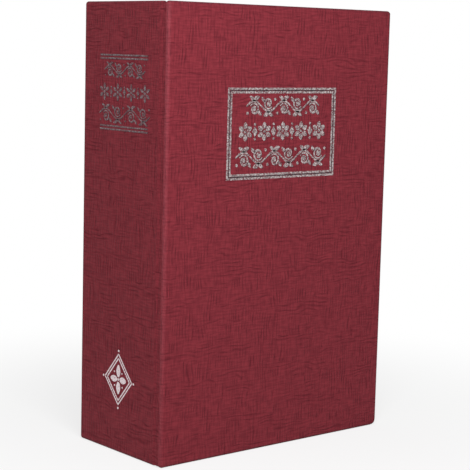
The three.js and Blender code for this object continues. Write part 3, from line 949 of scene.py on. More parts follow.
        # Wear and painted highlight fade towards the foot, as the light does, and give way to painted shade
        # at the head and foot.
        wear_and_highlight_left = (1 - soil) * (self.highlight_at_foot + (1 - self.highlight_at_foot) * z / self.height)
        hinge = (self.points[0], (self.points[1] - self.points[0]).normalized(), (self.hinge_corner,) * 2)
        back = (self.points[-2] - self.points[-1]).normalized()
        fore = (self.points[-1], back, (self.foot_corner, self.head_corner))
        sides = [(cut, cut.outer + cut.outer_way * inset) for cut in cuts]
        sides += [(cut, cut.inner + cut.inner_way * inset) for cut in reversed(cuts)]
        verts = []
        for cut, flat in sides:
            # The hinge's corners and the fore-edge's lie too far apart to touch each other.
            point = self.round_corner(self.round_corner(Vector((*flat, z)), *hinge), *fore)
            vert = work.verts.new(point * MM)
            vert[work.verts.layers.float[WEAR_AND_HIGHLIGHT]] = cut.wear * wear_and_highlight_left
            vert[work.verts.layers.float[EDGE_SHADE]] = max(soil, cut.soil)
            verts.append(vert)
        return verts

    def build(self) -> Piece:
        """Builds the paper as a thin shell with an open window inside, where the lining goes.

        Returns:
            The piece, with its place on the unrolled sheet as its UV map.
        """
        cuts, levels = self.stations(), self.levels()
        work = bmesh.new()
        sheet = work.loops.layers.uv.new(PAPER_UV)
        for mark in (WEAR_AND_HIGHLIGHT, EDGE_SHADE):
            work.verts.layers.float.new(mark)
        rings = [self.ring(work, cuts, level) for level in levels]
        across, upward = distances([cut.outer for cut in cuts]), distances([level.xy for level in levels])
        edge = self.thickness - 2 * self.edge_round
        end = len(cuts) - 1
        inner = [2 * end + 1 - i for i in range(end + 1)]

        def face(corners: Sequence[tuple[int, int]], us: Pair, vs: Pair) -> None:
            """Adds a quad, with its place on the sheet.

            Args:
                corners: The level and the cut of each corner.
                us: From where to where it runs across the sheet.
                vs: From where to where it runs up the sheet.
            """
            made = work.faces.new([rings[level][cut] for level, cut in corners])
            places = zip((us[0], us[1], us[1], us[0]), (vs[0], vs[0], vs[1], vs[1]))
            for loop, (u, v) in zip(made.loops, places):
                loop[sheet].uv = ((u + self.sheet_start) * MM, v * MM)

        strips = [(i, i + 1, (across[i], across[i + 1]), 0.0) for i in range(end)]
        strips += [(inner[i], inner[i + 1], (across[i], across[i + 1]), self.inner_sheet) for i in range(end)]
        strips.append((end, inner[end], (across[end], across[end] + edge), 0.0))
        strips.append((inner[0], 0, (-edge, 0.0), 0.0))
        rim = len(self.rim_angles()) + len(self.run_in()) - 1
        top = len(levels) - 1
        for k in range(top):
            window = self.turn_in <= levels[k].x and levels[k + 1].x <= self.height - self.turn_in
            for a, b, us, lift in strips:
                # Only the inner side's strips are lifted on the sheet, and only they leave the window open.
                if window and lift and inner[end - rim] <= b and a <= inner[rim]:
                    continue
                face([(k, a), (k, b), (k + 1, b), (k + 1, a)], us, (upward[k] + lift, upward[k + 1] + lift))
        for k, low, high in ((0, upward[0], upward[0] - edge), (top, upward[top], upward[top] + edge)):
            for i in range(end):
                corners = [(k, i), (k, i + 1), (k, inner[i + 1]), (k, inner[i])]
                face(corners, (across[i], across[i + 1]), (low, high))
        piece = new_piece(self.name, closed_mesh(work, self.name), BINDING)
        shell = piece.modifiers.new("paper", "SOLIDIFY")
        shell.thickness = self.paper * MM
        shell.offset = -1
        shell.use_even_offset = True
        return finished(piece)


def smooth_path(points: Sequence[Vector], steps: int = 4) -> list[Vector]:
    """Runs a smooth line through points.

    Args:
        points: The points, in order.
        steps: How many pieces each stretch is cut into.

    Returns:
        The line's points.
    """
    padded = [2 * points[0] - points[1], *points, 2 * points[-1] - points[-2]]
    line = []
    for a, b, c, d in zip(padded, padded[1:], padded[2:], padded[3:]):
        for step in range(steps):
            t = step / steps
            bow = (2 * a - 5 * b + 4 * c - d) * t**2 + (3 * b - a - 3 * c + d) * t**3
            line.append(0.5 * (2 * b + (c - a) * t + bow))
    return [*line, points[-1]]


@dataclass(frozen=True)
class PaperStrip:
    """A strip of paper that stands along the crease and bends between the front cover and the case.

    Each point of its path has its share of the way over the crease, and how far it lies from there
    across the front and into the book. The strip bends between the crease's two ends, moved into the
    book by this much each.
    """

    name: str
    finish: Finish
    path: Sequence[Triple]
    thickness: float
    margin: float
    bends: Pair = (0.0, 0.0)
    sheet_start: float = 0.0
    levels: int = 24
    smooth: float = 60.0

    def draw(self, start: Vector, end: Vector, height: float) -> Piece:
        """Draws the strip, whose thickness lies to the right of its path.

        Args:
            start: Where the crease leaves the front cover.
            end: Where it meets the spine.
            height: The book's height.

        Returns:
            The piece, with its place on the unrolled sheet as its UV map.
        """
        line = smooth_path([start.lerp(end, share) + Vector((x, y)) for share, x, y in self.path])
        sides = [point + side * self.thickness for point, side in zip(line, right_sides(line))]
        runs = [self.sheet_start + run for run in distances(line)]
        runs += reversed(runs)
        work = bmesh.new()
        sheet = work.loops.layers.uv.new(PAPER_UV)
        rings, places = [], {}
        for k in range(self.levels + 1):
            z = self.margin + (height - 2 * self.margin) * k / self.levels
            rings.append([work.verts.new(Vector((*point, z)) * MM) for point in (*line, *reversed(sides))])
            places.update((vert, (run * MM, z * MM)) for vert, run in zip(rings[-1], runs))
        loft(work, rings)
        for ring in (rings[0], rings[-1]):
            loft(work, [ring[: len(line)], ring[: len(line) - 1 : -1]], around=False)
        for face in work.faces:
            for loop in face.loops:
                loop[sheet].uv = places[loop.vert]
        return new_piece(self.name, closed_mesh(work, self.name), self.finish, self.smooth)

    def build(self, crease_start: Vector, crease_end: Vector, height: float) -> None:
        """Puts the strip across the crease.

        Args:
            crease_start: Where the crease leaves the front cover.
            crease_end: Where it meets the spine.
            height: The book's height.
        """
        strip = self.draw(crease_start, crease_end, height)
        x = crease_start.x
        start, end = crease_start.y + self.bends[0], crease_end.y + self.bends[1]
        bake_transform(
            strip,
            Body.COVER.value,
            Body.CASE.value,
            start=(x * MM, start * MM, 0),
            end=(x * MM, end * MM, 0),
        )
        LOG.info("%s bends between the front cover and the case", strip.name)


CREASE_PAPER = PaperStrip(
    "crease_paper",
    BINDING,
    path=(
        (0.0, -0.02, -1.3),
        (0.0, -0.02, -1.04),
        (0.0, -0.01, -0.585),
        (0.0, 0.01, 0.0),
        (0.5, 0.135, 0.0),
        (1.0, 0.1, 0.0),
        (1.0, 0.02, 0.585),
        (1.0, -0.02, 1.04),
        (1.0, -0.02, 1.3),
    ),
    thickness=0.3,
    margin=0.6,
    sheet_start=398.0,
)
CREASE_ENDPAPER = PaperStrip(
    "crease_endpaper",
    ENDPAPER,
    path=(
        (0.0, 1.6, 0.26),
        (0.0, 0.55, 0.24),
        (0.5, 0.375, 0.0),
        (1.0, 0.65, -0.16),
        (1.0, 1.05, -0.06),
        (1.0, 2.55, -0.06),
        (1.0, 3.0, 0.1),
        (1.0, 3.13, 0.8),
    ),
    thickness=-0.12,
    margin=4.0,
    bends=(0.35, -0.3),
)


@dataclass
class Covers:
    """The case binding: the front cover, the spine and back cover, and the papers that join them."""

    board: float = 3.1
    crease: float = 1.2
    case_sheet: float = 400.0
    strips: Sequence[PaperStrip] = (CREASE_PAPER, CREASE_ENDPAPER)

    def build(self) -> None:
        """Builds both covers and the strips that bend between them."""
        cover_low, cover_high = box_mm("front_cover_wrap")
        case_low, case_high = box_mm("spine_and_back_wrap")
        height = cover_high.z
        inside = cover_low.y + self.board
        spine_start = Vector((case_low.x, inside + self.crease))
        front = [cover_low.xy, Vector((cover_high.x, cover_low.y))]
        name = "front_cover_paper"
        cover = WrappedBoard(name, front, [Vector((0, 1))], self.board, height, worn_and_highlit=True)
        seat(cover.build(), Body.COVER, BINDING, ["front_cover_wrap"])
        back = [spine_start, Vector((case_low.x, case_high.y)), case_high.xy]
        name, inward = "spine_and_back_paper", [Vector((1, 0)), Vector((0, -1))]
        case = WrappedBoard(name, back, inward, self.board, height, self.case_sheet)
        seat(case.build(), Body.CASE, BINDING, ["spine_and_back_wrap"])
        for strip in self.strips:
            strip.build(Vector((cover_low.x, inside)), spine_start, height)


@dataclass(frozen=True)
class Box:
    """A level box on a face of the book: across it from its middle, and up from the foot."""

    left: float
    right: float
    low: float
    high: float

    def inset(self, by: float) -> "Box":
        """Gives the box with its edges drawn in."""
        return Box(self.left + by, self.right - by, self.low + by, self.high - by)

    def corners(self) -> list[Vector]:
        """Gives the four corners in order."""
        across = (self.left, self.right, self.right, self.left)
        return [Vector(corner) for corner in zip(across, (self.low, self.low, self.high, self.high))]


@dataclass
class FlatShape:
    """Thin flat motifs, drawn across X and up Z, from which the foil's ornament is made."""

    thickness: float
    work: Shape = field(default_factory=bmesh.new)
    leaf_start: float = 0.08
    leaf_run: float = 0.88
    leaf_fullness: float = 0.8

    def ring(self, points: Sequence[Vector], deep: bool = False) -> list[bmesh.types.BMVert]:
        """Draws points on the film's face, or on its back."""
        depth = self.thickness if deep else 0.0
        return [self.work.verts.new(Vector((p.x, depth, p.y)) * MM) for p in points]

    def plate(self, corners: Sequence[Vector]) -> None:
        """Adds a polygon with these corners as a thin plate."""
        self.closed([self.ring(corners), self.ring(corners, True)])

    def closed(self, rings: Sequence[Sequence[bmesh.types.BMVert]]) -> None:
        """Adds a solid with closed ends.

        Args:
            rings: The rings that it runs through.
        """
        loft(self.work, rings)
        for end in (rings[0], rings[-1]):
            self.work.faces.new(end)

    def ribbon(self, line: Sequence[Vector], widths: Sequence[float]) -> None:
        """Adds a ribbon that follows a line and swells as it goes.

        Args:
            line: Its middle line.
            widths: Its whole width at each point of the line.
        """
        rings = []
        for point, side, width in zip(line, right_sides(line), widths):
            left, right = point - side * width / 2, point + side * width / 2
            rings.append(self.ring([left, right]) + self.ring([right, left], True))
        self.closed(rings)

    def leaf(self, root: Vector, way: Vector, width: float, bow: float = 0.0, steps: int = 8) -> None:
        """Adds a leaf with a full middle and a pointed tip.

        Args:
            root: Where it grows from.
            way: The way from its root to its tip.
            width: Its width at its fullest.
            bow: How far its middle line bends to the left.
            steps: How many pieces it is cut into.
        """
        side = Vector((-way.y, way.x)).normalized()
        shares = [i / steps for i in range(steps + 1)]
        line = [root + way * t + side * bow * math.sin(math.pi * t) for t in shares]
        full = [math.sin(math.pi * (self.leaf_start + self.leaf_run * t)) for t in shares]
        self.ribbon(line, [width * share**self.leaf_fullness for share in full])

    def disc(self, centre: Vector, radius: float, sides: int = 12) -> None:
        """Adds a dot of this radius round its centre."""
        turns = [2 * math.pi * i / sides for i in range(sides)]
        self.plate([centre + Vector((math.cos(turn), math.sin(turn))) * radius for turn in turns])

    def rule_frame(self, box: Box, width: float) -> None:
        """Adds a rule with mitred corners.

        Args:
            box: The box, inside whose edges it runs.
            width: How wide it is.
        """
        outer, inner = box.corners(), box.inset(width).corners()
        rings = [self.ring(outer), self.ring(inner), self.ring(inner, True), self.ring(outer, True)]
        loft(self.work, rings, cyclic=True)

    def mesh(self, name: str) -> Mesh:
        """Gives the drawn motif as a closed mesh."""
        return closed_mesh(self.work, name)


@dataclass(frozen=True)
class Repeat:
    """Copies of one piece in a row, round a centre or in a stack, laid by one geometry tree.

    Each copy is moved by the step and turned by the turn against the last, and lies at the radius in the
    direction that it faces. The scatter shrinks each by a random share, up to this one.
    """

    count: int
    start: Triple = (0.0, 0.0, 0.0)
    step: Triple = (0.0, 0.0, 0.0)
    radius: float = 0.0
    turn: float = 0.0
    scatter: float = 0.0
    seed: int = 0

    def tree(self, name: str = "repeat_a_piece") -> Tree:
        """Makes the tree the first time it is asked for, and returns the same one after that.

        Args:
            name: The tree's name.

        Returns:
            The tree.
        """
        found = bpy.data.node_groups.get(name)
        if found:
            return found
        tree = bpy.data.node_groups.new(name, "GeometryNodeTree")
        for kind, labels in (
            ("Object", ("Piece",)),
            ("Int", ("Count", "Seed")),
            ("Vector", ("Start", "Step")),
            ("Float", ("Radius", "Turn", "Scatter")),
            ("Material", ("Finish",)),
        ):
            for label in labels:
                tree.interface.new_socket(label, in_out="INPUT", socket_type="NodeSocket" + kind)
        tree.interface.new_socket("Geometry", in_out="OUTPUT", socket_type="NodeSocketGeometry")
        given = add_node(tree, "NodeGroupInput").node.outputs
        places = {"Count": given["Count"], "Start Location": given["Start"], "Offset": given["Step"]}
        row = add_node(tree, "GeometryNodeMeshLine", places, mode="OFFSET")
        index = add_node(tree, "GeometryNodeInputIndex")
        turn = add_node(tree, "ShaderNodeMath", {0: index, 1: given["Turn"]}, operation="MULTIPLY")
        facing = [add_node(tree, "ShaderNodeMath", {0: turn}, operation=kind) for kind in ("SINE", "COSINE")]
        way = add_node(tree, "ShaderNodeCombineXYZ", {"X": facing[0], "Z": facing[1]})
        spoke = add_node(tree, "ShaderNodeVectorMath", {0: way, "Scale": given["Radius"]}, operation="SCALE")
        placed = add_node(tree, "GeometryNodeSetPosition", {"Geometry": row, "Offset": spoke})
        least = add_node(tree, "ShaderNodeMath", {0: 1.0, 1: given["Scatter"]}, operation="SUBTRACT")
        share = add_node(tree, "FunctionNodeRandomValue", {2: least, 3: 1.0, "Seed": given["Seed"]}, 1)
        copied = {
            "Points": placed,
            "Instance": add_node(tree, "GeometryNodeObjectInfo", {"Object": given["Piece"]}, "Geometry"),
            "Rotation": add_node(tree, "ShaderNodeCombineXYZ", {"Y": turn}),
            "Scale": add_node(tree, "ShaderNodeCombineXYZ", {"X": share, "Y": 1.0, "Z": share}),
        }
        copies = add_node(tree, "GeometryNodeInstanceOnPoints", copied)
        real = add_node(tree, "GeometryNodeRealizeInstances", {0: copies})
        dressed = add_node(tree, "GeometryNodeSetMaterial", {"Geometry": real, "Material": given["Finish"]})
        add_node(tree, "NodeGroupOutput", {0: dressed})
        return tree

    def lay(self, piece: Mesh, finish: Finish) -> Mesh:
        """Runs the tree on a piece.

        Args:
            piece: The mesh that is repeated.
            finish: What the copies are dressed with.

        Returns:
            The copies as one plain mesh.
        """
        source = bpy.data.objects.new("source", piece)
        host = bpy.data.objects.new("host", bpy.data.meshes.new("host"))
        for thing in (host, source):
            bpy.context.scene.collection.objects.link(thing)
        modifier = host.modifiers.new("repeat", "NODES")
        modifier.node_group = self.tree()
        values = {"Piece": source, "Finish": finish.material(), "Count": self.count, "Seed": self.seed}
        values |= {"Start": [x * MM for x in self.start], "Step": [x * MM for x in self.step]}
        values |= {"Radius": self.radius * MM, "Turn": self.turn, "Scatter": self.scatter}
        for item in modifier.node_group.interface.items_tree:
            if item.in_out == "INPUT":
                modifier[item.identifier] = values[item.name]
        mesh = finished(host).data
        for thing in (host, source):
            bpy.data.objects.remove(thing)
        return mesh


def join(meshes: Sequence[Mesh]) -> Mesh:
    """Puts several meshes into one.

    Args:
        meshes: The meshes, which aren't needed after this.

    Returns:
        One mesh with all their faces.
    """
    work = bmesh.new()
    for mesh in meshes:
        work.from_mesh(mesh)
    return plain_mesh(work, "joined")


@dataclass(frozen=True)
class Scroll:
    """One bay of a running scroll: a stem, a curl under it and leaves over it.

    Places are shares of the bay's length and of the row's height, and widths are shares of the height.
    The stem's and the curl's own widths are in millimetres, from an end to the middle.
    """

    rise: float = 0.26
    stem_steps: int = 16
    stem: Pair = (0.5, 0.95)
    eye: Pair = (0.04, -0.14)
    eye_dot: float = 0.1
    curl_steps: int = 24
    curl: Pair = (0.42, 0.92)
    curl_angles: Pair = (150.0, -320.0)
    curl_reach: Pair = (0.30, 0.11)
    leaves: Sequence[tuple[Pair, Pair, float, float]] = (
        ((0.0, 0.26), (0.36, 0.20), 0.22, 0.05),
        ((0.0, 0.26), (-0.30, 0.22), 0.18, -0.04),
        ((0.26, -0.24), (0.22, -0.22), 0.18, 0.03),
    )
    dot: Pair = (-0.42, -0.34)
    dot_radius: float = 0.075

    def draw(self, shape: FlatShape, pitch: float, height: float, weight: float) -> Mesh:
        """Draws the bay, centred on its middle.

        Args:
            shape: The empty shape that takes it.
            pitch: The bay's length.
            height: The whole row's height.
            weight: How wide its lines are, against the front cover's.

        Returns:
            The bay's mesh.
        """
        shares = [i / self.stem_steps for i in range(self.stem_steps + 1)]
        swell = self.stem[1] - self.stem[0]
        line = [Vector((pitch * (t - 0.5), self.rise * height * math.sin(math.pi * t))) for t in shares]
        shape.ribbon(line, [weight * (self.stem[0] + swell * math.sin(math.pi * t)) for t in shares])
        eye = Vector((pitch * self.eye[0], height * self.eye[1]))
        line, widths = [], []
        for i in range(self.curl_steps + 1):
            t = i / self.curl_steps
            angle = math.radians(self.curl_angles[0] + (self.curl_angles[1] - self.curl_angles[0]) * t)
            radius = height * (self.curl_reach[0] + (self.curl_reach[1] - self.curl_reach[0]) * t)
            line.append(eye + Vector((math.cos(angle), math.sin(angle))) * radius)
            widths.append(weight * (self.curl[0] + (self.curl[1] - self.curl[0]) * math.sin(math.pi * t)))
        shape.ribbon(line, widths)
        full = weight * height
        shape.disc(eye, full * self.eye_dot)
        for root, way, width, bow in self.leaves:
            start, run = (Vector((pitch * x, height * y)) for x, y in (root, way))
            shape.leaf(start, run, full * width, height * bow)
        shape.disc(Vector((pitch * self.dot[0], height * self.dot[1])), full * self.dot_radius)
        return shape.mesh("scroll")


@dataclass(frozen=True)
class Row:
    """One row of foil: its piece's name, its face, its motif and box, and how often the motif comes."""

    name: str
    face: Face
    motif: Motif
    box: Box
    count: int = 2


@dataclass
class FoilOrnament:
    """The foil on the front cover and the spine: rules, rows of scrolls and rosettes, and a fleuron.

    The ornament is the common stock of a bindery's stamps. The shares of a rosette and a lozenge count
    in the row's height. The fleuron's tip and bud are dots: each has its share of the way to a corner,
    and its radius against the fleuron's line.
    """

    film: float = 0.03
    bed: float = 0.05
    rule: float = 0.85
    rule_gap: float = 0.55
    # How far the painted shadow between the frame's rules laps under them.
    shadow_lap: float = 0.08
    spine_weight: float = 0.7
    # How far the painted shadow copy of each ornament is shifted.
    rim_shift: Pair = (0.26, -0.14)
    petals: int = 6
    petal: Pair = (0.28, 0.36)
    petal_start: float = 0.15
    rosette_eye: float = 0.09
    lozenge_half: Pair = (0.19, 0.285)
    lozenge_dot: float = 0.075
    lozenge_dot_place: float = 0.40
    fleuron_size: Pair = (21.0, 24.0)
    fleuron_middle: Pair = (-1.0, 30.0)
    fleuron_line: float = 0.55
    fleuron_rings: Pair = (0.86, 0.72)
    fleuron_tip: Pair = (0.97, 0.9)
    fleuron_bud: Pair = (0.24, 0.7)
    fleuron_petal: float = 0.13
    fleuron_petal_run: Pair = (0.08, 0.42)
    front_frame: Box = Box(-29.9, 28.3, 111.3, 147.6)
    rows: Sequence[Row] = (
        Row("front_foil_upper_row", Face.FRONT, Motif.SCROLL, Box(-20.3, 18.9, 136.3, 144.3), 5),
        Row("front_foil_middle_row", Face.FRONT, Motif.ROSETTES, Box(-24.2, 22.8, 126.6, 133.9), 5),
        Row("front_foil_lower_row", Face.FRONT, Motif.SCROLL, Box(-25.4, 23.4, 115.7, 124.2), 6),
        Row("spine_foil_upper_rule", Face.SPINE, Motif.RULES, Box(-16.4, 15.1, 157.5, 159.4)),
        Row("spine_foil_upper_row", Face.SPINE, Motif.SCROLL, Box(-13.4, 13.4, 150.2, 156.4), 4),
        Row("spine_foil_middle_row", Face.SPINE, Motif.ROSETTES, Box(-16.6, 16.8, 141.3, 148.0), 4),
        Row("spine_foil_lower_row", Face.SPINE, Motif.SCROLL, Box(-16.6, 17.0, 132.3, 139.8), 4),
        Row("spine_foil_lower_rule", Face.SPINE, Motif.RULES, Box(-16.1, 15.6, 129.6, 131.5)),
    )

    def shape(self) -> FlatShape:
        """Starts an empty motif, as thick as the film and its bed."""
        return FlatShape(self.film + self.bed)

    def rosette(self, height: float, weight: float, finish: Finish) -> Mesh:
        """Draws a flower of petals with a dot in its middle.

        Args:
            height: The flower's height.
            weight: How full its petals are.
            finish: The foil.

        Returns:
            The flower, centred on its middle.
        """
        petal, dot = self.shape(), self.shape()
        petal.leaf(Vector((0, 0)), Vector((0, height * self.petal[1])), weight * height * self.petal[0])
        ring = Repeat(self.petals, radius=height * self.petal_start, turn=2 * math.pi / self.petals)
        dot.disc(Vector((0, 0)), height * self.rosette_eye)
        return join([ring.lay(petal.mesh("petal"), finish), dot.mesh("dot")])

    def lozenge(self, height: float) -> Mesh:
        """Draws a small lozenge between two dots, which parts the rosettes.

        Args:
            height: The row's height.

        Returns:
            The lozenge, centred on its middle.
        """
        shape = self.shape()
        half_x, half_z = (height * half for half in self.lozenge_half)
        shape.plate([Vector(place) for place in ((0, -half_z), (half_x, 0), (0, half_z), (-half_x, 0))])
        for side in (-1, 1):
            shape.disc(Vector((0, side * height * self.lozenge_dot_place)), height * self.lozenge_dot)
        return shape.mesh("lozenge")

    def row(self, row: Row, weight: float, finish: Finish) -> Mesh:
        """Draws one row of foil in its box.

        Args:
            row: What is drawn, and where.
            weight: How wide its lines are, against the front cover's.
            finish: The foil.

        Returns:
            The row.
        """
        box = row.box
        height, middle = box.high - box.low, (box.low + box.high) / 2
        if row.motif is Motif.RULES:
            shape = self.shape()
            rule = self.rule * weight
            for low, high in ((box.low, box.low + rule), (box.high - rule, box.high)):
                shape.plate(Box(box.left, box.right, low, high).corners())
            return shape.mesh("rules")
        if row.motif is Motif.SCROLL:
            pitch = (box.right - box.left) / row.count
            bay = Scroll().draw(self.shape(), pitch, height, weight)
            start = (box.left + pitch / 2, 0.0, middle)
            return Repeat(row.count, start, (pitch, 0.0, 0.0), turn=math.pi).lay(bay, finish)
        pitch = (box.right - box.left - height) / (row.count - 1)
        first = box.left + height / 2
        flowers = Repeat(row.count, (first, 0.0, middle), (pitch, 0.0, 0.0))
        lozenges = Repeat(row.count - 1, (first + pitch / 2, 0.0, middle), (pitch, 0.0, 0.0))
        flower, lozenge = self.rosette(height, weight, finish), self.lozenge(height * weight)
        return join([flowers.lay(flower, finish), lozenges.lay(lozenge, finish)])

    def double_frame(self) -> tuple[Mesh, Mesh]:
        """Draws two rules round the front's box, one inside the other, and a painted shadow in the gap
        between them.

        Returns:
            The rules, and the painted shadow.
        """
        rules, gap_shadow = self.shape(), self.shape()
        rules.rule_frame(self.front_frame, self.rule)
        rules.rule_frame(self.front_frame.inset(self.rule + self.rule_gap), self.rule)
        lap = self.shadow_lap
        gap_shadow.rule_frame(self.front_frame.inset(self.rule - lap), self.rule_gap + 2 * lap)
        return rules.mesh("double_frame"), gap_shadow.mesh("frame_ground")

    def fleuron(self) -> Mesh:
        """Draws an open lozenge with a four-petalled flower in it, and a dot past each corner.

        Returns:
            The ornament.
        """
        shape, line, width = self.shape(), self.fleuron_line, self.fleuron_size[0]
        centre = Vector(self.fleuron_middle)
        corners = [Vector((0, -1)), Vector((1, 0)), Vector((0, 1)), Vector((-1, 0))]
        places = [Vector((c.x * width / 2, c.y * self.fleuron_size[1] / 2)) for c in corners]
        for share in self.fleuron_rings:
            ring = [centre + place * share for place in places]
            for a, b in zip(ring, ring[1:] + ring[:1]):
                shape.ribbon([a, b], [line, line])
        petal = width * self.fleuron_petal
        root, run = self.fleuron_petal_run
        for corner, place in zip(corners, places):
            tip, bud = centre + place * self.fleuron_tip[0], centre + place * self.fleuron_bud[0]
            shape.disc(tip, line * self.fleuron_tip[1])
            shape.leaf(centre + place * root, place * run, petal)
            shape.disc(bud + Vector((-corner.y, corner.x)) * petal, line * self.fleuron_bud[1])
        shape.disc(centre, line)
        return shape.mesh("fleuron")

    def put(self, name: str, mesh: Mesh, face: Face, finish: Finish, gap_shadow: Optional[Mesh] = None) -> None:
        """Stamps a drawn ornament on one face of the book.

        Args:
            name: The piece's name.
            mesh: The ornament, drawn across X and up Z with its face at Y zero.
            face: The face that takes it.
            finish: The foil.
            gap_shadow: The painted shadow in the gap under it, or nothing for a painted shadow that copies
                the ornament a little off its place.
        """
        spine_face, front_face = cad_box[0][0], cad_box[0][1]
        if face is Face.FRONT:
            place, body = Matrix.Translation((0, front_face, 0)), Body.COVER
        else:
            place = Matrix.Translation((spine_face, 0, 0)) @ Matrix.Rotation(-QUARTER, 4, "Z")
            body = Body.CASE
        # The painted shadow: the given one, else a shifted copy of the ornament.
        rim = gap_shadow or mesh.copy()
        x, z = (0.0, 0.0) if gap_shadow else self.rim_shift
        rim.transform(place @ Matrix.Translation((x * MM, -self.film / 2 * MM, z * MM)))
        mesh.transform(place @ Matrix.Translation((0, -self.film * MM, 0)))
        seat(new_piece(name, mesh, finish), body, finish)
        # Metallic foil gets its painted shadow under it.
        if finish.metallic:
            seat(new_piece(name + "_rim", rim, FOIL_SHADOW), body, FOIL_SHADOW)

    def build(self) -> None:
        """Stamps the foil on the front cover and the spine."""
        rules, gap_shadow = self.double_frame()
        self.put("front_foil_frame", rules, Face.FRONT, SILVER, gap_shadow)
        for row in self.rows:
            front = row.face is Face.FRONT
            finish, weight = (SILVER, 1.0) if front else (SPINE_SILVER, self.spine_weight)
            self.put(row.name, self.row(row, weight, finish), row.face, finish)
        self.put("spine_foot_fleuron", self.fleuron(), Face.SPINE, WHITE)


@dataclass
class PageBlock:
    """The false pages: one moulding, whose head, foot and fore-edge show the edges of its leaves."""

    corner: float = 1.2
    least_corner: float = 0.1
    corner_steps: int = 3
    rib_depth: float = 0.4
    moulded_edge: float = 0.3
    leaf_pitch: float = 0.4
    leaf_edge: float = 0.05
    leaf_flat: float = 0.4
    leaf_depth: float = 1.0
    spine_gap: float = 0.4
    scatter: float = 0.0028
    seed: int = 7

    def leaf(self, half_x: float, half_z: float) -> Mesh:
        """Draws one leaf's edge round the fore-edge, centred on the block's middle.

        Args:
            half_x: Half of the block's width.
            half_z: Half of its height.

        Returns:
            The edge, open towards the spine.
        """
        thick = self.leaf_pitch / 2
        near = [(self.leaf_depth, thick), (self.leaf_edge, thick), (0.0, thick * self.leaf_flat)]
        section = [(inset, -y) for inset, y in near] + near[::-1]
        start = self.spine_gap - half_x
        work = bmesh.new()
        rings = []
        for inset, y in section:
            radius = max(self.corner - inset, self.least_corner)
            right, top = half_x - inset, half_z - inset
            path = [Vector((start, -top))]
            for side in (-1, 1):
                centre = Vector((right - radius, side * (top - radius)))
                for i in range(self.corner_steps + 1):
                    angle = QUARTER * ((side - 1) / 2 + i / self.corner_steps)
                    path.append(centre + Vector((math.cos(angle), math.sin(angle))) * radius)
            path.append(Vector((start, top)))
            rings.append([work.verts.new(Vector((p.x, y, p.y)) * MM) for p in path])
        loft(work, rings, around=False)
        return closed_mesh(work, "leaf")

    def build(self) -> None:
        """Builds the block with its ribs shaved off, and lays finer leaves round it."""
        low, high = box_mm("page_block")
        shave = Vector((1, 0, 1)) * self.rib_depth
        foot, (fore, _, head) = (low + shave).z * MM, (high - shave) * MM
        work = merged_copy("page_block")
        for vert in work.verts:
            vert.co.x = min(vert.co.x, fore)
            vert.co.z = min(max(vert.co.z, foot), head)
        same_place = 1e-6
        bmesh.ops.remove_doubles(work, verts=work.verts, dist=same_place)
        bmesh.ops.dissolve_degenerate(work, edges=work.edges, dist=same_place)
        core = softened("page_block_core", work, PAGES, self.moulded_edge)
        seat(core, Body.CASE, PAGES, ["page_block"])
        half, middle = (high - low) / 2, (low + high) / 2
        count = int((high.y - low.y) / self.leaf_pitch) - 1
        start, step = (middle.x, low.y + self.leaf_pitch, middle.z), (0.0, self.leaf_pitch, 0.0)
        stack = Repeat(count, start, step, scatter=self.scatter, seed=self.seed)
        leaves = stack.lay(self.leaf(half.x, half.z), PAGES)
        seat(new_piece("page_edges", leaves, PAGES), Body.CASE, PAGES)


@dataclass
class CashTray:
    """The drawn steel tray in the pages, with its hinge leaf, pin and four screws."""

    sheet_edge: float = 0.18
    screw_edge: float = 0.12
    screws: int = 4

    def build(self) -> None:
        """Builds the tray and what is fastened to it."""
        dress_solid("tray_shell", "steel_tray", Body.CASE, POWDER, self.sheet_edge)
        dress_solid("hinge_leaf", "tray_hinge_leaf", Body.CASE, POWDER, self.sheet_edge)
        dress_solid("hinge_rod", "hinge_pin", Body.CASE, ZINC, self.screw_edge)
        for i in range(1, self.screws + 1):
            dress_solid(f"pan_head_screw_{i}", f"tray_screw_{i}", Body.CASE, ZINC, self.screw_edge)


def turned(
    name: str,
    node: str,
    profile: Sequence[tuple[float, Radius]],
    finish: Finish,
    sides: int = 96,
    smooth: float = 50.0,
) -> Piece:
    """Turns a ring-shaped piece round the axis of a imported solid, which runs along Y.

    Args:
        name: The piece's name.
        node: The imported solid, which gives the axis and the front.
        profile: The skin's cuts in order round the section: each one's distance behind the front, and
            its radius for any direction.
        finish: What the piece is dressed with.
        sides: How many sides a whole turn is cut into.
        smooth: Edges that turn by more than this many degrees stay sharp.

    Returns:
        The piece, with one closed skin.
    """
    low, high = box_mm(node)
    start = Vector(((low.x + high.x) / 2, low.y, (low.z + high.z) / 2))
    angles = [2 * math.pi * side / sides for side in range(sides)]
    work = bmesh.new()
    rings = []
    for depth, radius in profile:
        spokes = [Vector((math.cos(angle), 0.0, math.sin(angle))) * radius(angle) for angle in angles]
        rings.append([work.verts.new((start + Vector((0, depth, 0)) + spoke) * MM) for spoke in spokes])
    loft(work, rings, cyclic=True)
    return new_piece(name, closed_mesh(work, name), finish, smooth)


def round_to(radius: float) -> Radius:
    """Gives a radius that is the same in every direction."""
    return lambda angle: radius


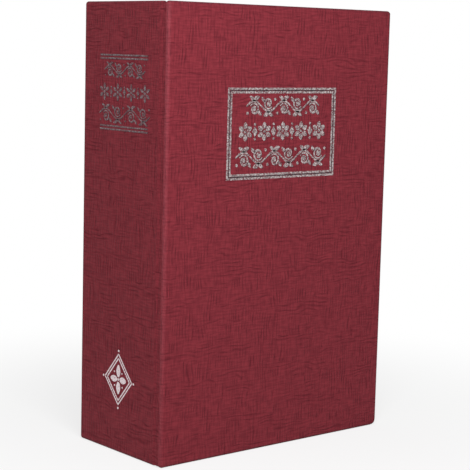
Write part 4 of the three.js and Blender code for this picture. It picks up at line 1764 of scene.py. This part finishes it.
@dataclass
class ThreadedBarrel:
    """The lock's housing: a turned bezel, and a barrel whose thread is cut through by two flats."""

    bezel_height: float = 1.05
    bezel_edge: float = 0.63
    bezel_steps: int = 4
    broken_edge: float = 0.05
    barrel_radius: float = 6.0
    flat: float = 5.6
    bore: float = 4.7
    head_room: float = 5.2
    head_depth: float = 1.6
    pitch: float = 1.0
    thread_depth: float = 0.4
    runout: float = 0.5
    cuts_per_turn: int = 6

    def thread(self, depth: float, length: float) -> Radius:
        """Gives the threaded barrel's radius at one distance behind the bezel's face.

        Args:
            depth: How far behind the bezel's face the cut lies.
            length: The housing's whole length.

        Returns:
            The radius for any direction, counted from the direction in which a flat faces.
        """
        fade = max(0.0, min(1.0, (depth - self.bezel_height) / self.runout, (length - depth) / self.runout))
        least = 1e-6

        def radius(angle: float) -> float:
            """Follows the thread's crest round, and stops at the flats.

            Args:
                angle: The direction.

            Returns:
                How far the skin lies from the axis.
            """
            phase = (depth / self.pitch + angle / (2 * math.pi)) % 1.0
            crest = (1 - abs(2 * phase - 1)) * fade
            reach = self.barrel_radius - self.thread_depth * (1 - crest)
            return min(reach, self.flat / max(abs(math.cos(angle)), least))

        return radius

    def build(self) -> Piece:
        """Turns the housing, from the plug's seat round the outside and back through the bore.

        Returns:
            The piece.
        """
        low, high = box_mm("lock_housing")
        length, rim = high.y - low.y, (high.x - low.x) / 2
        profile = [(0.0, round_to(self.head_room))]
        for i in range(self.bezel_steps + 1):
            angle = QUARTER * i / self.bezel_steps
            reach = rim - self.bezel_edge * (1 - math.sin(angle))
            profile.append((self.bezel_edge * (1 - math.cos(angle)), round_to(reach)))
        profile.append((self.bezel_height - self.broken_edge, round_to(rim)))
        profile.append((self.bezel_height, round_to(rim - self.broken_edge)))
        barrel = length - self.bezel_height
        cuts = round(barrel / self.pitch * self.cuts_per_turn)
        for i in range(cuts + 1):
            depth = self.bezel_height + barrel * i / cuts
            profile.append((depth, self.thread(depth, length)))
        seat_bore, seat_rim = (self.head_depth, self.bore), (self.head_depth, self.head_room)
        for depth, radius in ((length, self.bore), seat_bore, seat_rim):
            profile.append((depth, round_to(radius)))
        return turned("lock_barrel", "lock_housing", profile, NICKEL)


@dataclass
class HexNut:
    """The housing's thin nut, pressed from bar with its corners turned off on both faces."""

    bore: float = 6.15
    bore_edge: float = 0.3
    corner_cut: float = 1.0
    cut_height: float = 0.55
    steps: int = 5

    def hexagon(self, limit: float, corner: float, first: float) -> Radius:
        """Gives the hexagon's radius, held back by the cone that turns its corners off.

        Args:
            limit: The cone's radius.
            corner: The hexagon's radius at its corners.
            first: The direction of one corner.

        Returns:
            The radius for any direction.
        """
        flat = corner * math.cos(SIXTH / 2)

        def radius(angle: float) -> float:
            """Finds how far the nearest flat lies in this direction."""
            turn = (angle - first) % SIXTH - SIXTH / 2
            return min(limit, flat / math.cos(turn))

        return radius

    def build(self) -> Piece:
        """Turns the nut: six flats, cut off towards each face by a cone.

        Returns:
            The piece.
        """
        low, high = box_mm("lock_nut")
        size = high - low
        corner, thick = max(size.x, size.z) / 2, size.y
        first = QUARTER if size.z > size.x else 0.0
        sides = []
        for i in range(self.steps + 1):
            share = i / self.steps
            limit = corner - self.corner_cut * (1 - share)
            sides.append((self.cut_height * share, self.hexagon(limit, corner, first)))
        rim = [(self.bore_edge, round_to(self.bore)), (0.0, round_to(self.bore + self.bore_edge))]
        front = rim + sides
        back = [(thick - depth, radius) for depth, radius in reversed(front)]
        return turned("lock_back_nut", "lock_nut", front + back, ZINC)


@dataclass
class SteelLid:
    """The pressed lid, with the fixed parts of its lock."""

    sheet_edge: float = 0.18
    turned_edge: float = 0.1

    def build(self) -> None:
        """Builds the lid, and the lock's housing, washer and nut."""
        seat(ThreadedBarrel().build(), Body.LID, NICKEL, ["lock_housing"])
        seat(HexNut().build(), Body.LID, ZINC, ["lock_nut"])
        dress_solid("lid_pressing", "lid_panel", Body.LID, POWDER, self.sheet_edge)
        dress_solid("housing_washer", "lock_washer", Body.LID, ZINC, self.turned_edge)


@dataclass
class LockCore:
    """What the key turns: the plug with its wafers, and the cam on its end."""

    turned_edge: float = 0.1

    def build(self) -> None:
        """Builds the turning parts."""
        dress_solid("key_plug", "lock_plug", Body.CORE, NICKEL, self.turned_edge)
        dress_solid("cam_arm", "lock_cam", Body.CORE, ZINC, self.turned_edge)
        dress_solid("cam_screw_washer", "cam_washer", Body.CORE, ZINC, self.turned_edge)
        dress_solid("cam_pan_screw", "cam_screw", Body.CORE, ZINC, self.turned_edge)


@dataclass
class Studio:
    """The plain pale floor, the soft light and the camera at the photograph's viewing angle, in metres."""

    camera_place: Triple = (-0.39437, -0.46421, 0.16378)
    yaw: float = 40.279
    pitch: float = 7.397
    roll: float = 1.458
    lens: float = 111.576
    sensor: float = 36.0
    nearest: float = 0.01
    world_light: float = 0.34
    key_power: float = 2.0
    key_place: Triple = (-0.20, -0.29, 0.39)
    key_aim: Triple = (0.0, 0.0, 0.10)
    key_size: Pair = (0.22, 0.16)
    floor_size: float = 6.0
    floor_colour: str = "#E6E6E6"
    fade: Pair = (0.06, 0.26)
    least_white: float = 0.76

    def stand(self, name: str, data: Optional[bpy.types.ID], place: Optional[Matrix] = None) -> Piece:
        """Links a new object to the scene.

        Args:
            name: Its name.
            data: Its mesh, lamp or camera.
            place: Where it stands, or nothing for the middle of the floor.

        Returns:
            The object.
        """
        made = bpy.data.objects.new(name, data)
        made.matrix_world = place or Matrix()
        bpy.context.scene.collection.objects.link(made)
        return made

    def camera(self) -> None:
        """Stands the camera where the photograph's corners put it."""
        yaw, pitch, roll = (math.radians(angle) for angle in (self.yaw, self.pitch, self.roll))
        level = Vector((math.sin(yaw), math.cos(yaw), 0))
        ahead = level * math.cos(pitch) - Vector((0, 0, math.sin(pitch)))
        right = Vector((math.cos(yaw), -math.sin(yaw), 0))
        up = right.cross(ahead)
        leaned_right = right * math.cos(roll) + up * math.sin(roll)
        leaned_up = up * math.cos(roll) - right * math.sin(roll)
        turn = Matrix((leaned_right, leaned_up, -ahead)).transposed().to_4x4()
        data = bpy.data.cameras.new("camera")
        data.lens, data.sensor_width, data.clip_start = self.lens, self.sensor, self.nearest
        bpy.context.scene.camera = self.stand("camera", data, Matrix.Translation(self.camera_place) @ turn)

    def seen_rays(self, tree: Tree) -> Socket:
        """Gives one for rays that show a surface to the eye: straight, in a reflection or through glass.

        Args:
            tree: The tree of a material or of the world.

        Returns:
            One for such a ray, and zero for others.
        """
        path = add_node(tree, "ShaderNodeLightPath").node.outputs
        rays = {0: path["Is Camera Ray"], 1: path["Is Glossy Ray"]}
        direct = add_node(tree, "ShaderNodeMath", rays, operation="ADD")
        rays = {0: direct, 1: path["Is Transmission Ray"]}
        return add_node(tree, "ShaderNodeMath", rays, operation="ADD", use_clamp=True)

    def world(self) -> None:
        """Makes a white surround that lights evenly and is seen as plain white."""
        world = bpy.data.worlds.new("studio")
        world.use_nodes = True
        tree = world.node_tree
        tree.nodes.clear()
        mix = {0: self.seen_rays(tree)}
        for key, strength in ((1, self.world_light), (2, 1.0)):
            mix[key] = add_node(tree, "ShaderNodeBackground", {"Color": WHITE_LIGHT, "Strength": strength})
        add_node(tree, "ShaderNodeOutputWorld", {0: add_node(tree, "ShaderNodeMixShader", mix)})
        bpy.context.scene.world = world

    def floor(self) -> None:
        """Lays a pale floor that takes the shadow near the book and turns white away from it."""
        half = self.floor_size / 2
        mesh = bpy.data.meshes.new("floor")
        corners = [(-half, -half, 0), (half, -half, 0), (half, half, 0), (-half, half, 0)]
        mesh.from_pydata(corners, [], [(0, 1, 2, 3)])
        material = bpy.data.materials.new("studio_floor")
        material.use_nodes = True
        tree = material.node_tree
        tree.nodes.clear()
        place = add_node(tree, "ShaderNodeTexCoord", out="Object")
        away = add_node(tree, "ShaderNodeVectorMath", {0: place}, "Value", operation="LENGTH")
        ends = {0: away, 1: self.fade[0], 2: self.fade[1], 3: self.least_white}
        fade = add_node(tree, "ShaderNodeMapRange", ends, interpolation_type="SMOOTHSTEP")
        shown = add_node(tree, "ShaderNodeMath", {0: fade, 1: self.seen_rays(tree)}, operation="MULTIPLY")
        matt = add_node(tree, "ShaderNodeBsdfDiffuse", {"Color": linear(self.floor_colour)})
        white = add_node(tree, "ShaderNodeEmission", {"Color": WHITE_LIGHT, "Strength": 1.0})
        mixed = add_node(tree, "ShaderNodeMixShader", {0: shown, 1: matt, 2: white})
        add_node(tree, "ShaderNodeOutputMaterial", {0: mixed})
        mesh.materials.append(material)
        self.stand("floor", mesh)

    def key(self) -> None:
        """Hangs one large soft lamp in front of the book, above the camera's right shoulder."""
        data = bpy.data.lights.new("key", "AREA")
        data.shape = "RECTANGLE"
        data.size, data.size_y = self.key_size
        data.energy = self.key_power
        place = Vector(self.key_place)
        turn = (place - Vector(self.key_aim)).to_track_quat("Z", "Y").to_matrix().to_4x4()
        self.stand("key", data, Matrix.Translation(place) @ turn).visible_camera = False

    def build(self) -> None:
        """Sets up the whole studio."""
        bpy.context.scene.view_settings.view_transform = "Standard"
        self.camera()
        self.world()
        self.floor()
        self.key()


def dress_frame() -> None:
    """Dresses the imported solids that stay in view: the boards, the linings and the lock's wafers."""
    by_slot = {finish.slot: finish for finish in (GREYBOARD, ENDPAPER, BRASS)}
    for part in frame["record"]["subparts"]:
        if part["material_slot"] not in by_slot:
            continue
        finish = by_slot[part["material_slot"]]
        for place in frame["nodes"][part["node"]].material_slots:
            place.material = finish.material()
        LOG.info("%s is dressed in %s", part["node"], finish.name)


def main() -> None:
    """Builds the studio and the book, piece by piece."""
    logging.basicConfig(level=logging.INFO, format="%(message)s")
    Studio().build()
    dress_frame()
    for assembly in (Covers(), FoilOrnament(), PageBlock(), CashTray(), SteelLid(), LockCore()):
        assembly.build()


if __name__ == "__main__":
    main()
